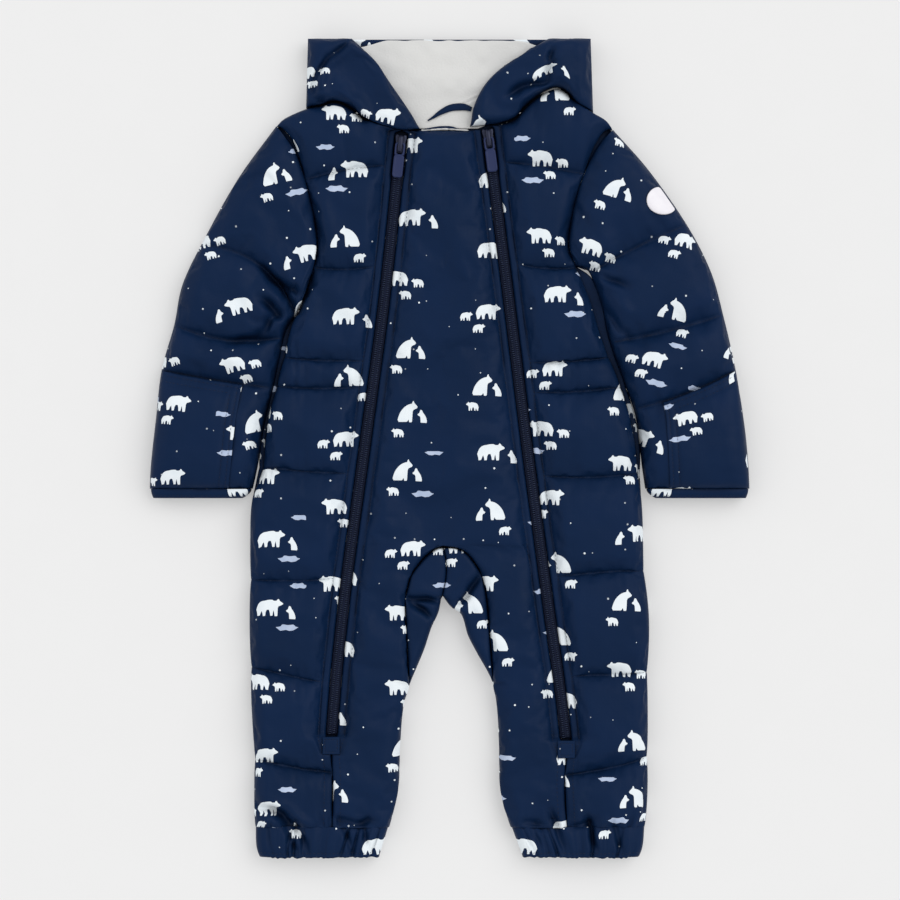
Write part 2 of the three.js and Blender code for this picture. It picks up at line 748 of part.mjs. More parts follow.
// A point of a sleeve's plan: line counts the rows of its table and u runs from the outer edge inwards
function sleevePoint(side, line, u) {
  const rows = SLEEVES[side];
  const at = (k) => {
    const row = rows[Math.min(Math.max(k, 0), rows.length - 1)];
    if (k <= 0) {
      const y = mix(row.outerY, row.innerY, u);
      return [armholeAt(side, y), y];
    }
    const [x, y] = mixPoint([row.outerX, row.outerY], [row.innerX, row.innerY], u);
    const [dx, dy] = [row.innerX - row.outerX, row.innerY - row.outerY];
    const length = Math.hypot(dx, dy);
    const bow = row.bow * 4 * u * (1 - u) * -outwards[side];
    return [x - (dy / length) * bow, y + (dx / length) * bow];
  };
  const k = Math.min(Math.floor(line), rows.length - 2);
  const t = line - k;
  const [p, q, r, s] = [at(k - 1), at(k), at(k + 1), at(k + 2)];
  const before = k === 0 ? [2 * q[0] - r[0], 2 * q[1] - r[1]] : p;
  return [0, 1].map((i) => cubic(before[i], q[i], r[i], s[i], t));
}

// Upper height of a sleeve at a place of its plan
function sleeveTop(side, line, u) {
  const rows = SLEEVES[side];
  const stitched = rows.map((row, k) => (row.quilted ? k : -1)).filter((k) => k >= 0);
  const next = Math.max(stitched.findIndex((k) => k > line), 1);
  const to = line >= rows.length - 1 ? stitched.length - 1 : next;
  const share = (line - stitched[to - 1]) / (stitched[to] - stitched[to - 1]);
  const [x, y] = sleevePoint(side, line, u);
  const [outer, inner] = [sleevePoint(side, line, 0), sleevePoint(side, line, 1)];
  const fromOuter = Math.hypot(x - outer[0], y - outer[1]);
  const fromInner = Math.hypot(x - inner[0], y - inner[1]);
  const low = SEAM_RIM + 3;
  const core = mix(low, SLEEVE_PEAK, swell(Math.min(share, 1))) + foldHeight(x, y);
  const roll = rise(fromOuter, EDGE_ROLL * 1.4) * rise(fromInner, EDGE_ROLL * 1.4);
  const rim = line < 0.02 ? SEAM_RIM : EDGE_RIM;
  return BACK_TOP + mix(rim, core, line < 0.02 ? Math.sqrt(roll) : roll);
}

function sleeveLower(side, line, u) {
  const [x, y] = sleevePoint(side, line, u);
  const [outer, inner] = [sleevePoint(side, line, 0), sleevePoint(side, line, 1)];
  const fromOuter = Math.hypot(x - outer[0], y - outer[1]);
  const fromInner = Math.hypot(x - inner[0], y - inner[1]);
  return (BACK_TOP - EDGE_RIM) * (1 - rise(fromOuter, EDGE_ROLL) * rise(fromInner, EDGE_ROLL));
}

const SLEEVE_LINES = [
  0, 0.2, 0.7, 1.3, 1.8, 2, 2.2, 3, 3.75, 4, 4.15, 4.5, 4.85, 5, 5.15, 5.6, 6.2, 7, 7.6, 8,
];

// Positions across a sleeve, with one at every row of the panel it is sewn to
function sleeveColumns(side) {
  const { outerY, innerY } = SLEEVES[side][0];
  const sewn = panelRows(side)
    .map((row) => (row.outerY - outerY) / (innerY - outerY))
    .filter((u) => u >= 0 && u < 1);
  const apart = 0.025;
  const own = SLEEVE_COLUMNS.filter((u) => sewn.every((v) => Math.abs(u - v) > apart));
  return [...sewn, ...own].sort((u, v) => u - v);
}

// Sleeve: a flattened tube that is closed at the armhole and open at the cuff, between its two layers
function sleeve(side) {
  const last = SLEEVES[side].length - 1;
  const places = SLEEVE_LINES.map((line) => sleeveColumns(side).map((u) => ({ line, u })));
  const plan = standBack(
    places.map((row) => row.map(({ line, u }) => sleevePoint(side, line, u))),
    ["start", "end"],
  );
  const outer = wall([
    plan.map((row, r) =>
      row.map(([x, y], c) => {
        const { line, u } = places[r][c];
        return { x, y, top: sleeveTop(side, line, u), bottom: sleeveLower(side, line, u) };
      }),
    ),
  ]);
  const slitLines = [0.3, 1, 2, 3, 4, 5, 6, 7, last + 0.3];
  const slit = wall([
    slitLines.map((line) =>
      [0.08, 0.36, 0.64, 0.92].map((u) => {
        const [x, y] = sleevePoint(side, line, u);
        return { x, y, top: FRONT_BASE, bottom: BACK_TOP };
      }),
    ),
  ]);
  return cut(outer, slit);
}

// Fold-over mitten: a flap that lies on the sleeve's end, made from the sleeve's own surface
function mitten(side) {
  const lines = SLEEVE_LINES.filter((line) => line >= MITTEN_FIRST_LINE);
  const columns = sleeveColumns(side).filter((u) => u > 0 && u <= MITTEN_INNER);
  const plan = standBack(
    lines.map((line) => columns.map((u) => sleevePoint(side, line, u))),
    ["end"],
  );
  return wall([
    plan.map((row, r) =>
      row.map(([x, y], c) => {
        const surface = sleeveTop(side, lines[r], columns[c]) + LAYER_GAP;
        return { x, y, top: surface + MITTEN_THICKNESS, bottom: surface };
      }),
    ),
  ]);
}

// A short flattened ring of cloth that ends a sleeve or a leg, open through its middle
function openEnd({ outerX, innerX, from, to, top, rows, columns, ripple }) {
  const grid = rows.map((v) =>
    columns.map((u) => {
      const x = mix(outerX(v), innerX(v), u);
      return [x, mix(from, to, v)];
    }),
  );
  const moved = standBack(grid, ["start"]);
  const ring = wall([
    moved.map((row, r) =>
      row.map(([x, y], c) => {
        const width = Math.abs(row[0][0] - row[row.length - 1][0]);
        const inside = Math.min(columns[c], 1 - columns[c]) * width;
        const roll = rise(inside, EDGE_ROLL);
        const height = top(rows[r]) + ripple * Math.cos(columns[c] * 2 * Math.PI * WAVES_PER_ANKLE) * roll;
        return {
          x,
          y,
          top: BACK_TOP + mix(EDGE_RIM, height, roll),
          bottom: (BACK_TOP - EDGE_RIM) * (1 - roll),
        };
      }),
    ),
  ]);
  const slit = wall([
    [-0.2, 1.2].map((v) =>
      [0.08, 0.92].map((u) => ({
        x: mix(outerX(0.5), innerX(0.5), u),
        y: mix(from, to, v),
        top: FRONT_BASE,
        bottom: BACK_TOP,
      })),
    ),
  ]);
  return cut(ring, slit);
}

function cuff(side) {
  const end = SLEEVES[side][SLEEVES[side].length - 1];
  const corner = 7;
  return openEnd({
    outerX: (v) => end.outerX - outwards[side] * 2 * v * v,
    innerX: (v) => end.innerX + outwards[side] * corner * v * v,
    from: CUFF_TOP,
    to: CUFF_END,
    top: (v) => mix(SEAM_RIM + 4, SEAM_RIM + 2, v),
    rows: [0, 0.35, 0.75, 1],
    columns: [0, 0.04, 0.14, 0.35, 0.65, 0.86, 0.96, 1],
    ripple: 0,
  });
}

function ankle(side) {
  const y = (v) => mix(ANKLE_TOP, HEM, v);
  const corner = 3;
  const steps = WAVES_PER_ANKLE * 3;
  return openEnd({
    outerX: (v) => edgeAt(EDGES[side].side, y(v)) - outwards[side] * corner * v ** 4,
    innerX: (v) => edgeAt(EDGES[side].legInside, y(v)),
    from: ANKLE_TOP,
    to: HEM,
    top: (v) => mix(SEAM_RIM + 1, SEAM_RIM + 6, swell(mix(0.02, 0.85, v))),
    rows: [0, 0.3, 0.7, 1],
    columns: Array.from({ length: steps + 1 }, (_, i) => i / steps),
    ripple: 1.4,
  });
}

// The hood's back, flat on the surface above the shoulders
function hoodBack() {
  const [right, left] = [HOOD.right, HOOD.left];
  const rows = [0, 0.06, 0.25, 0.6, 1];
  const columns = [0, 0.02, 0.07, 0.25, 0.5, 0.75, 0.93, 0.98, 1];
  const bottomY = HOOD_BACK_LOWER;
  return wall([
    rows.map((v) =>
      columns.map((u) => {
        const x = mix(mix(right.corner[0], right.foot[0], v), mix(left.corner[0], left.foot[0], v), u);
        const y = mix(HOOD_TOP, bottomY, v);
        const inside = Math.min(u, 1 - u) * (left.corner[0] - right.corner[0]);
        const roll = rise(inside, EDGE_ROLL) * rise(HOOD_TOP - y, EDGE_ROLL);
        return { x, y, top: BACK_TOP, bottom: (BACK_TOP - EDGE_RIM) * (1 - roll) };
      }),
    ),
  ]);
}

// The hood's side, folded forwards over its back: from the fold at the top to the neck seam
function hoodSide(side) {
  const { corner, foot, faceEdge, lowerEdge } = HOOD[side];
  const top = curveThrough([corner, faceEdge[0]]);
  const face = curveThrough(faceEdge);
  const lowerEnd = faceEdge[faceEdge.length - 1];
  const overPanel = 1.4;
  const lower = curveThrough([foot, ...lowerEdge.slice(1).map((p) => [p.x, p.y + overPanel]), lowerEnd]);
  const outer = curveThrough([corner, foot]);
  const columns = [0, 0.05, 0.14, 0.26, 0.38, 0.5, 0.62, 0.74, 0.87, 0.96, 1];
  const rows = [0, 0.06, 0.18, 0.36, 0.56, 0.76, 0.9, 1];
  const plan = rows.map((v) =>
    columns.map((u) =>
      [0, 1].map((i) => {
        const across = mix(outer(v)[i], face(v)[i], u);
        const down = mix(top(u)[i], lower(u)[i], v);
        const corners = mix(
          mix(corner[i], faceEdge[0][i], u),
          mix(foot[i], lowerEnd[i], u),
          v,
        );
        return across + down - corners;
      }),
    ),
  );
  const moved = standBack(plan, ["end"]);
  return wall([
    moved.map((row, r) =>
      row.map(([x, y], c) => {
        const far = (p) => Math.hypot(x - p[0], y - p[1]);
        const fromOuter = far(row[0]);
        const fromFace = far(row[row.length - 1]);
        const fromTop = far(moved[0][c]);
        const fromNeck = far(moved[moved.length - 1][c]);
        const outerRoll = rise(fromOuter, EDGE_ROLL) * rise(fromTop, EDGE_ROLL);
        const seamRoll = rise(fromFace, EDGE_ROLL * 0.7) * rise(fromNeck, EDGE_ROLL * 0.6);
        const core = mix(SEAM_RIM, HOOD_PEAK + foldHeight(x, y), seamRoll);
        const height = mix(EDGE_RIM, core, outerRoll);
        return { x, y, top: HOOD_BASE + Math.max(height, EDGE_RIM), bottom: HOOD_BASE };
      }),
    ),
  ]);
}

// The pale lining that shows in the face opening and at the back of the neck
function hoodLining() {
  const columns = [0, 0.25, 0.5, 0.75, 1];
  return wall([
    LINING_WIDTHS.map(({ y, left, right }) =>
      columns.map((u) => ({
        x: mix(left, right, u),
        y,
        top: FRONT_BASE + LINING_THICKNESS,
        bottom: FRONT_BASE,
      })),
    ),
  ]);
}

// Hanging loop: a narrow folded strip in an arch across the back of the neck
const LOOP_ARCH = [
  [-16, 262.5],
  [-7, 270.5],
  [4, 275],
  [11, 274.5],
  [16.5, 269.5],
];
const LOOP_WIDTH = 4;
const LOOP_THICKNESS = 1.3;

function hangingLoop() {
  const arch = curveThrough(LOOP_ARCH);
  const steps = 12;
  const base = FRONT_BASE + LINING_THICKNESS + LAYER_GAP;
  const rows = Array.from({ length: steps + 1 }, (_, i) => {
    const [p, q] = [arch(Math.max(i - 0.5, 0) / steps), arch(Math.min(i + 0.5, steps) / steps)];
    const length = Math.hypot(q[0] - p[0], q[1] - p[1]);
    const normal = [-(q[1] - p[1]) / length, (q[0] - p[0]) / length];
    const middle = arch(i / steps);
    return [-0.5, 0.5].map((k) => ({
      x: middle[0] + normal[0] * LOOP_WIDTH * k,
      y: middle[1] + normal[1] * LOOP_WIDTH * k,
      top: base + LOOP_THICKNESS,
      bottom: base,
    }));
  });
  return wall([rows]);
}

// Pale piping along the upper edge of the centre panel
function neckEdge() {
  const [from, to] = [-21.5, 15.5];
  const [low, high] = [254.1, 255.4];
  const columns = [0, 0.25, 0.5, 0.75, 1];
  return wall([
    [high, low].map((y) =>
      columns.map((u) => ({ x: mix(from, to, u), y, top: FRONT_BASE + SEAM_RIM + 1, bottom: FRONT_BASE })),
    ),
  ]);
}

// A straight-sided strip that follows a zip's line
function zipStrip(side, half, bottom, top, from, to) {
  const steps = 12;
  const rows = Array.from({ length: steps + 1 }, (_, i) => mix(from, to, i / steps));
  return wall([
    rows.map((y) =>
      [-1, 1].map((k) => ({ x: edgeAt(EDGES[side].zip, y) + k * half, y, top, bottom })),
    ),
  ]);
}

const TAPE_TOP = FRONT_BASE + TAPE_THICKNESS;
const CHAIN_TOP = TAPE_TOP + LAYER_GAP + CHAIN_THICKNESS;
const SLIDER_BASE = CHAIN_TOP + LAYER_GAP;
const sliderY = (side) => EDGES[side].zipTop - SLIDER_LENGTH / 2;
const PIVOT_HEIGHT = SLIDER_PLATE + PULL_CLEARANCE + PULL_BAR / 2; // above the slider's base

function box(width, length, height, y, z) {
  return new THREE.BoxGeometry(width, length, height).translate(0, y, z + height / 2);
}

// A rounded plate lying flat, from y = from towards -Y
function roundedPlate(half, length, radius, thickness, from, base) {
  const shape = new THREE.Shape();
  const [left, right, high, low] = [-half, half, from, from - length];
  shape.moveTo(left + radius, low);
  shape.lineTo(right - radius, low);
  shape.absarc(right - radius, low + radius, radius, -Math.PI / 2, 0, false);
  shape.lineTo(right, high - radius);
  shape.absarc(right - radius, high - radius, radius, 0, Math.PI / 2, false);
  shape.lineTo(left + radius, high);
  shape.absarc(left + radius, high - radius, radius, Math.PI / 2, Math.PI, false);
  shape.lineTo(left, low + radius);
  shape.absarc(left + radius, low + radius, radius, Math.PI, 1.5 * Math.PI, false);
  const geometry = new THREE.ExtrudeGeometry(shape, { depth: thickness, bevelEnabled: false, curveSegments: 3 });
  return geometry.translate(0, 0, base);
}

// Slider: a plate with an arched bridge that the pull's bar passes under
function slider() {
  const archInside = PULL_BAR + 2 * PULL_CLEARANCE;
  const overlap = 0.2;
  return joined(
    roundedPlate(SLIDER_HALF, SLIDER_LENGTH, 2.4, SLIDER_PLATE, SLIDER_LENGTH / 2, 0),
    box(2 * BRIDGE_HALF, BRIDGE_FOOT, archInside + 2 * overlap, BRIDGE_REACH - BRIDGE_FOOT / 2, SLIDER_PLATE - overlap),
    box(2 * BRIDGE_HALF, BRIDGE_FOOT, archInside + 2 * overlap, BRIDGE_FOOT / 2 - BRIDGE_REACH, SLIDER_PLATE - overlap),
    box(2 * BRIDGE_HALF, 2 * BRIDGE_REACH, BRIDGE_TOP, 0, SLIDER_PLATE + archInside),
  );
}

// The eye at the pull's upper end, centred on its own pivot bar
function pullLoop() {
  const ring = roundedPlate(LOOP_HALF, LOOP_LENGTH + PULL_BAR / 2, 1.4, PULL_BAR, PULL_BAR / 2, -PULL_BAR / 2);
  const eyeLength = LOOP_LENGTH - 2 * PULL_BAR;
  const eye = box(
    2 * (LOOP_HALF - PULL_BAR),
    eyeLength,
    3 * PULL_BAR,
    -PULL_BAR / 2 - eyeLength / 2,
    -1.5 * PULL_BAR,
  );
  return cut(ring, eye);
}

// The flat grip below the eye
function pullGrip() {
  const from = -LOOP_LENGTH - LAYER_GAP;
  return roundedPlate(GRIP_HALF, GRIP_LENGTH, 2.6, GRIP_THICKNESS, from, -GRIP_THICKNESS / 2);
}

// The square patch that covers a zip's lower end dips into the groove between the two panels
function endPatch(side) {
  const from = EDGES[side].zipEnd - 0.8;
  const half = END_PATCH / 2;
  const x = edgeAt(EDGES[side].zip, from);
  return wall([
    [from, from - END_PATCH].map((y) =>
      [-half, -0.7 * half, -0.35 * half, 0, 0.35 * half, 0.7 * half, half].map((dx) => {
        const base = FRONT_BASE + mix(SEAM_RIM, PATCH_REST, rise(Math.abs(dx) + 1, EDGE_ROLL)) + LAYER_GAP;
        return { x: x + dx, y, top: base + PATCH_THICKNESS, bottom: base };
      }),
    ),
  ]);
}

// Round badge on the wearer's left upper arm, made from the sleeve's own surface. It ends where the
// sleeve's outer edge turns away.
const BADGE = { line: 1.5, u: 0.075, radius: 12, thickness: 1.4, clearance: 0.7, edge: 0.012 };

function badge() {
  const place = (line, u) => sleevePoint("left", line, u);
  const step = 0.01;
  const [centre, along, across] = [
    place(BADGE.line, BADGE.u),
    place(BADGE.line + step, BADGE.u),
    place(BADGE.line, BADGE.u + step),
  ];
  const perLine = step / Math.hypot(along[0] - centre[0], along[1] - centre[1]);
  const perU = step / Math.hypot(across[0] - centre[0], across[1] - centre[1]);
  const turns = 20;
  const rings = [1, 0.75, 0.5, 0.25, 0.02];
  const grid = rings.map((share) =>
    Array.from({ length: turns + 1 }, (_, i) => {
      const angle = (2 * Math.PI * (i % turns)) / turns;
      const outward = Math.max(-Math.cos(angle), 1e-3);
      const radius = Math.min(BADGE.radius, (BADGE.u - BADGE.edge) / (outward * perU)) * share;
      const line = BADGE.line + Math.sin(angle) * radius * perLine;
      const u = BADGE.u + Math.cos(angle) * radius * perU;
      const [x, y] = place(line, u);
      const surface = sleeveTop("left", line, u) + BADGE.clearance;
      return { x, y, top: surface + BADGE.thickness, bottom: surface };
    }),
  );
  const middle = grid[grid.length - 1];
  const centrePoint = { ...middle[0] };
  grid.push(middle.map(() => centrePoint));
  return wall([grid]);
}

const group = new THREE.Group();
group.name = "snowsuit";

function add(name, geometry, colour, roughness = 0.6, parent = group, metalness = 0) {
  const mesh = new THREE.Mesh(geometry, new THREE.MeshStandardMaterial({ color: colour, roughness, metalness }));
  mesh.name = name;
  parent.add(mesh);
  return mesh;
}

add("back", back(), COLOURS.shell);
add("front_center", centrePanel(), COLOURS.shell);
add("hood_back", hoodBack(), COLOURS.shell);
add("hood_lining", hoodLining(), COLOURS.lining, 0.95);
add("hanging_loop", hangingLoop(), COLOURS.shell);
add("neck_edge", neckEdge(), COLOURS.lining, 0.95);
add("badge", badge(), COLOURS.badge, 0.4);

for (const side of ["right", "left"]) {
  add(`front_side_${side}`, sidePanel(side), COLOURS.shell);
  add(`gusset_${side}`, gusset(side), COLOURS.shell);
  add(`sleeve_${side}`, sleeve(side), COLOURS.shell);
  add(`mitten_${side}`, mitten(side), COLOURS.shell);
  add(`cuff_${side}`, cuff(side), COLOURS.shell);
  add(`ankle_${side}`, ankle(side), COLOURS.shell);
  add(`hood_${side}`, hoodSide(side), COLOURS.shell);
  const { zipTop, zipEnd, zip } = EDGES[side];
  add(`zip_tape_${side}`, zipStrip(side, TAPE_HALF, FRONT_BASE, TAPE_TOP, zipTop, zipEnd), COLOURS.zip);
  const chainBase = TAPE_TOP + LAYER_GAP;
  add(`zip_chain_${side}`, zipStrip(side, CHAIN_HALF, chainBase, CHAIN_TOP, zipTop, zipEnd), COLOURS.zip);
  add(`zip_end_${side}`, endPatch(side), COLOURS.shell);

  // The slider and the pull are modelled upright on the zip's line and turned to it
  const top = new THREE.Group();
  const height = sliderY(side);
  const slope = edgeAt(zip, height + 5) - edgeAt(zip, height - 15);
  top.position.set(edgeAt(zip, height), height, SLIDER_BASE);
  top.rotation.z = -Math.atan2(slope, 20);
  group.add(top);
  add(`zip_slider_${side}`, slider(), COLOURS.slider, 0.4, top, 0.6);
  const pivot = new THREE.Group();
  pivot.position.z = PIVOT_HEIGHT;
  top.add(pivot);
  add(`zip_loop_${side}`, pullLoop(), COLOURS.slider, 0.4, pivot, 0.6);
  add(`zip_pull_${side}`, pullGrip(), COLOURS.grip, 0.5, pivot);
}

export default group;
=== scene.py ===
"""A padded baby snowsuit with two long front zips, laid flat on its back and seen from straight above."""

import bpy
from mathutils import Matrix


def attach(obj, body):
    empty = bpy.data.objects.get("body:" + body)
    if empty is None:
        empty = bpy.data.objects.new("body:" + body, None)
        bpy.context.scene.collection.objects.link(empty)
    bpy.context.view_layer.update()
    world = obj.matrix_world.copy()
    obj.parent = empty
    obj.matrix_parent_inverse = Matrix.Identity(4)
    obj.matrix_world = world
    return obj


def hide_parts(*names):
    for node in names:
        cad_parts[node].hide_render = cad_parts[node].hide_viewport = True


bl_info = {
    "name": "Padded Baby Snowsuit",
    "version": (1, 0, 0),
    "blender": (4, 5, 0),
    "location": "View3D > Sidebar > Snowsuit",
    "description": "Builds the cloth, zips, stitching and print of a quilted snowsuit that lies flat",
    "category": "Add Mesh",
}

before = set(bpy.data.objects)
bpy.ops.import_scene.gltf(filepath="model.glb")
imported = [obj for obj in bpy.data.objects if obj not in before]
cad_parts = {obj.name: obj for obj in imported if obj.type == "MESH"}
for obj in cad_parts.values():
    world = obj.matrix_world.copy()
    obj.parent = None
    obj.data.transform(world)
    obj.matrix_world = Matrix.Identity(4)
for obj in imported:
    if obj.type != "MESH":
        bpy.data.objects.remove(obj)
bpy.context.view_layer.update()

import math

import bmesh
import bpy
import numpy as np
from mathutils import Matrix, Vector

MM = 0.001
GARMENT = "garment"
OUTWARDS = {"right": -1, "left": 1}
SIDES = ("right", "left")

# Heights above the surface and the layers' thicknesses, in mm
BACK_TOP = 8.5
LAYER_GAP = 0.3
FRONT_BASE = BACK_TOP + LAYER_GAP
LINING_THICKNESS = 1.2
HOOD_BASE = FRONT_BASE + LINING_THICKNESS + LAYER_GAP
EDGE_RIM = 2
EDGE_ROLL = 13
SEAM_RIM = 5
STITCH_HEIGHT = 5.4
SEAM_GAP = 0.2

# Zips, in mm
ZIP_HALF_CHANNEL = 4.7
TAPE_HALF = 4.3
ZIP_TOP = {"right": 250.5, "left": 255}
ZIP_BAND = 6.2
TAPE_TOP = FRONT_BASE + 2
# Real teeth are about 1.2 mm apart, drawn at 1.7 mm so that they show
TOOTH_PITCH = 1.7
END_PATCH = 14
PATCH_REST = 12.2
SLIDER_LENGTH = 15
SLIDER_BASE = 13.3
PIVOT_HEIGHT = 3.3

ANKLE_TOP = -304
HEM = -327.5
CUFF_TOP = -33
CUFF_END = -40.5
CROTCH_TOP = -78
CROTCH = -119
CENTRE_X = -5
HOOD_TOP = 327.5
HOOD_BACK_LOWER = 269

# Edges of the panels: each row is a height y and the edge's x there, in mm from the top down
ARMHOLE = {
    "right": [(257, -138), (248, -131), (236, -123), (206, -113), (174, -106.5), (158, -106), (142, -109),
              (112, -119)],
    "left": [(254, 131), (244, 122), (224, 110.5), (202, 102.5), (180, 97.5), (160, 96), (146, 101)],
}
BODY_SIDE = {
    "right": [(112, -119), (94, -126), (62, -134), (22, -144), (-18, -149), (-42, -156.5), (-74, -158),
              (-138, -158.5), (-194, -157.5), (-250, -155), (-327, -155)],
    "left": [(146, 101), (130, 107), (114, 113), (94, 119), (68, 129), (42, 139), (6, 147.5), (-42, 153),
             (-90, 155), (-138, 159), (-194, 158), (-266, 158), (-327, 155.5)],
}
BACK_SIDE = {
    "right": [(112, -119), (94, -131), (62, -138), (22, -148), (-18, -152.5), (-42, -156.5)],
    "left": [(146, 101), (138, 113), (130, 117.5), (114, 122.5), (94, 128.5), (68, 134.5), (42, 143.5),
             (6, 151.5), (-42, 153)],
}
ZIP_LINE = {
    "right": [(256, -37.5), (118, -52), (-10, -69), (-122, -84), (-230, -94), (-266, -93), (-327, -94)],
    "left": [(256, 30.5), (118, 48), (-10, 64), (-122, 79), (-233, 93.5), (-270, 92.5), (-327, 96)],
}
ZIP_END = {"right": -230, "left": -233}
GUSSET_SEAM = {
    "right": [(-78, -5), (-84, -15), (-92, -23), (-102, -30), (-112, -33), (-122, -35), (-158, -33.5),
              (-188, -32)],
    "left": [(-78, -5), (-80, 5), (-84, 13), (-92, 20), (-100, 25), (-110, 28), (-122, 30), (-158, 33),
             (-188, 35.5)],
}
LEG_INSIDE = {
    "right": [(-119, -6), (-132, -8.5), (-144, -14), (-162, -20), (-186, -30), (-206, -37), (-238, -40),
              (-266, -40.5), (-294, -46), (-327, -56)],
    "left": [(-119, -5), (-128, 2), (-133, 9.5), (-150, 15), (-162, 21), (-186, 34), (-206, 39), (-238, 41),
             (-266, 41), (-294, 47), (-327, 59)],
}
CENTRE_SEAM = [(-78, -5), (-90, -2.5), (-104, -2.5), (-119, -5.5)]

# Quilting lines of the side panels: height at the outer edge, height at the zip, sag, and how full the
# channel below the line is (1 full, 0.6 for the gathered waist)
QUILTING = {
    "right": [(214, 226, 2, 1), (144, 146, -2, 1), (72, 69, -1, 0.6), (49, 48, -1, 1), (-16, -21, -1, 1),
              (-106, -104, -1, 1), (-176, -188, -1, 1), (-250, -260, -1, 1), (ANKLE_TOP, ANKLE_TOP, 0, 1)],
    "left": [(219, 229, 1, 1), (144, 148, -2, 1), (72, 68, -1, 0.6), (48, 44, -1, 1), (-21, -22, -2, 1),
             (-99, -104, 1, 1), (-180, -184, 0, 1), (-248, -262, -3, 1), (ANKLE_TOP, ANKLE_TOP, 0, 1)],
}
# Upper edge of each side panel, (x, y) from the shoulder point to the zip
SHOULDER = {
    "right": [(-138, 257), (-131, 263.5), (-114, 271), (-103, 273), (-94, 276), (-86, 275), (-77, 270),
              (-67, 262), (-53, 257.5), (-38, 254)],
    "left": [(131, 254), (125, 261), (115, 267), (103, 275), (95, 283), (87, 287), (79, 285), (69, 279),
             (60, 271), (52, 262), (41, 258.5), (31, 257)],
}
# Lines across each sleeve: outer x, outer y, inner x, inner y, bow of the middle, stitched through or not
SLEEVES = {
    "right": [(-138, 257, -119, 112, 0, 1), (-169, 214, -121, 110, 19, 0), (-198, 162, -123, 106, 15, 1),
              (-213, 130, -129, 99, 5, 0), (-219.5, 98, -133.5, 88, -7, 1), (-229.5, 62, -142, 48, -1, 1),
              (-234, 24, -149.5, 16, 0, 0), (-238, -12, -154, -12, 0, 0),
              (-239, CUFF_TOP, -158.5, CUFF_TOP, 0, 1)],
    "left": [(131, 254, 101, 146, 0, 1), (160, 221, 108, 144, 9, 0), (190, 178, 114, 140, 2, 1),
             (209, 141, 123, 116, -3, 0), (219, 106, 130, 84, -2, 1), (229, 62, 149, 31, -3, 1),
             (236, 18, 153.5, 4, 0, 0), (239, -12, 156, -16, 0, 0), (240, CUFF_TOP, 158.5, CUFF_TOP, 0, 1)],
}
# How far the sleeves' grain leans from upright, in degrees
SLEEVE_TURN = 15
# Which of the print's random layouts is used
PRINT_SEED = 5
# Height at which the front panels meet the ankle casings, in mm above the panels' base
CASING_JOIN = 10.4
MITTEN_LINE = 5
MITTEN_INNER = 0.74
MITTEN_THICKNESS = 2.2
# Rows of stitches round a mitten's band, in mm from its edge
MITTEN_ROWS = (3, 8)
# Distance in mm within which points of two halves are made one
SEAM_WELD = 0.05
# The cloth simulation takes every second row and column
PUFF_EVERY = 2

# Stage: where the camera stands in metres, its lens in mm, and how bright the surroundings are
CAMERA_PLACE = (0.0008, -0.002, 2.015)
CAMERA_LENS = 100
WORLD_STRENGTH = 0.735
PAPER_GLOW = {"Emission Color": (1, 1, 1, 1), "Emission Strength": 0.3}
# Lights: name, the place that each sun shines from, its angle in radians and its strength
SUNS = (("key", (1.5, 1.0, 2.1), 0.9, 0.98), ("fill", (-1.6, 0.6, 1.2), 0.9, 0.3))

HOOD_CORNER = {"right": (-113, 327.5), "left": (113.5, 327.5)}
HOOD_FOOT = {"right": (-114.5, 272), "left": (115.5, 268)}
FACE_EDGE = {
    "right": [(-78, 327.5), (-59, 308.5), (-45, 288.5), (-31, 268), (-23.5, 255)],
    "left": [(80, 327.5), (49, 308), (31, 292), (20.5, 274), (17, 257)],
}
LINING_WIDTHS = [(324, -104, 104), (291, -104, 104), (281, -98, 64), (273, -72, 55), (266, -62, 48),
                 (262, -50, 38), (255.8, -30, 23)]
LINING_SEAM = [(-15, 262), (25, 282)]
# The hanging loop's middle line, with half its width at each point
LOOP_ARCH = [(-17, 262, 0.5), (-12.4, 264.8, 1.1), (-6.6, 268.6, 2.0), (0.8, 272, 2.7), (7.8, 273, 2.9),
             (13, 272.7, 2.6), (18, 271, 1.8)]

# Folds, listed one by one: start x, y, end x, y, height (negative for a crease) and width, in mm
HOOD_FOLDS = [
    (-78, 325, -96, 311, -5, 3),
    (-96, 311, -106, 296, -6, 3),
    (-106, 296, -109, 280, -6, 3.5),
    (-84, 317, -99, 300, 2, 5),
    (-99, 300, -102, 284, 2.5, 5),
    (-105, 277, -97, 270, -9, 4),
    (-84, 284, -66, 270, 2, 5),
    (82, 317, 81, 306, -4.5, 3),
    (81, 306, 78, 291, -6.5, 3.5),
    (80, 290, 63, 289, -7, 3.5),
    (64, 289, 47, 281, -8, 4.5),
    (53, 275, 70, 283, 3, 4.5),
    (70, 283, 85, 286, 2, 3),
    (97, 300, 92, 284, 1.5, 8),
]
SLEEVE_FOLDS = [
    (-150, 144, -129, 122, -9, 4),
    (-150, 120, -135, 105, -10, 4.5),
    (-136, 108, -154, 89, -8, 4.5),
    (-132, 129, -120, 124, -8, 4),
    (-146, 128, -134, 112, 3, 4),
    (-150, 130, -147, 112, 2, 5),
    (-162, 104, -140, 98, -2.5, 4),
    (-176, 84, -140, 90, -6, 4),
    (-186, 122, -160, 112, -1.5, 7),
    (112, 146, 118, 122, -8, 4),
    (121, 138, 143, 129, -7, 4),
    (118, 115, 135, 97, -8, 4),
    (133, 99, 146, 86, -4, 4),
    (132, 116, 148, 104, 2, 6),
    (150, 84, 172, 94, -2, 5),
    (196, 100, 214, 106, -1.6, 6),
]
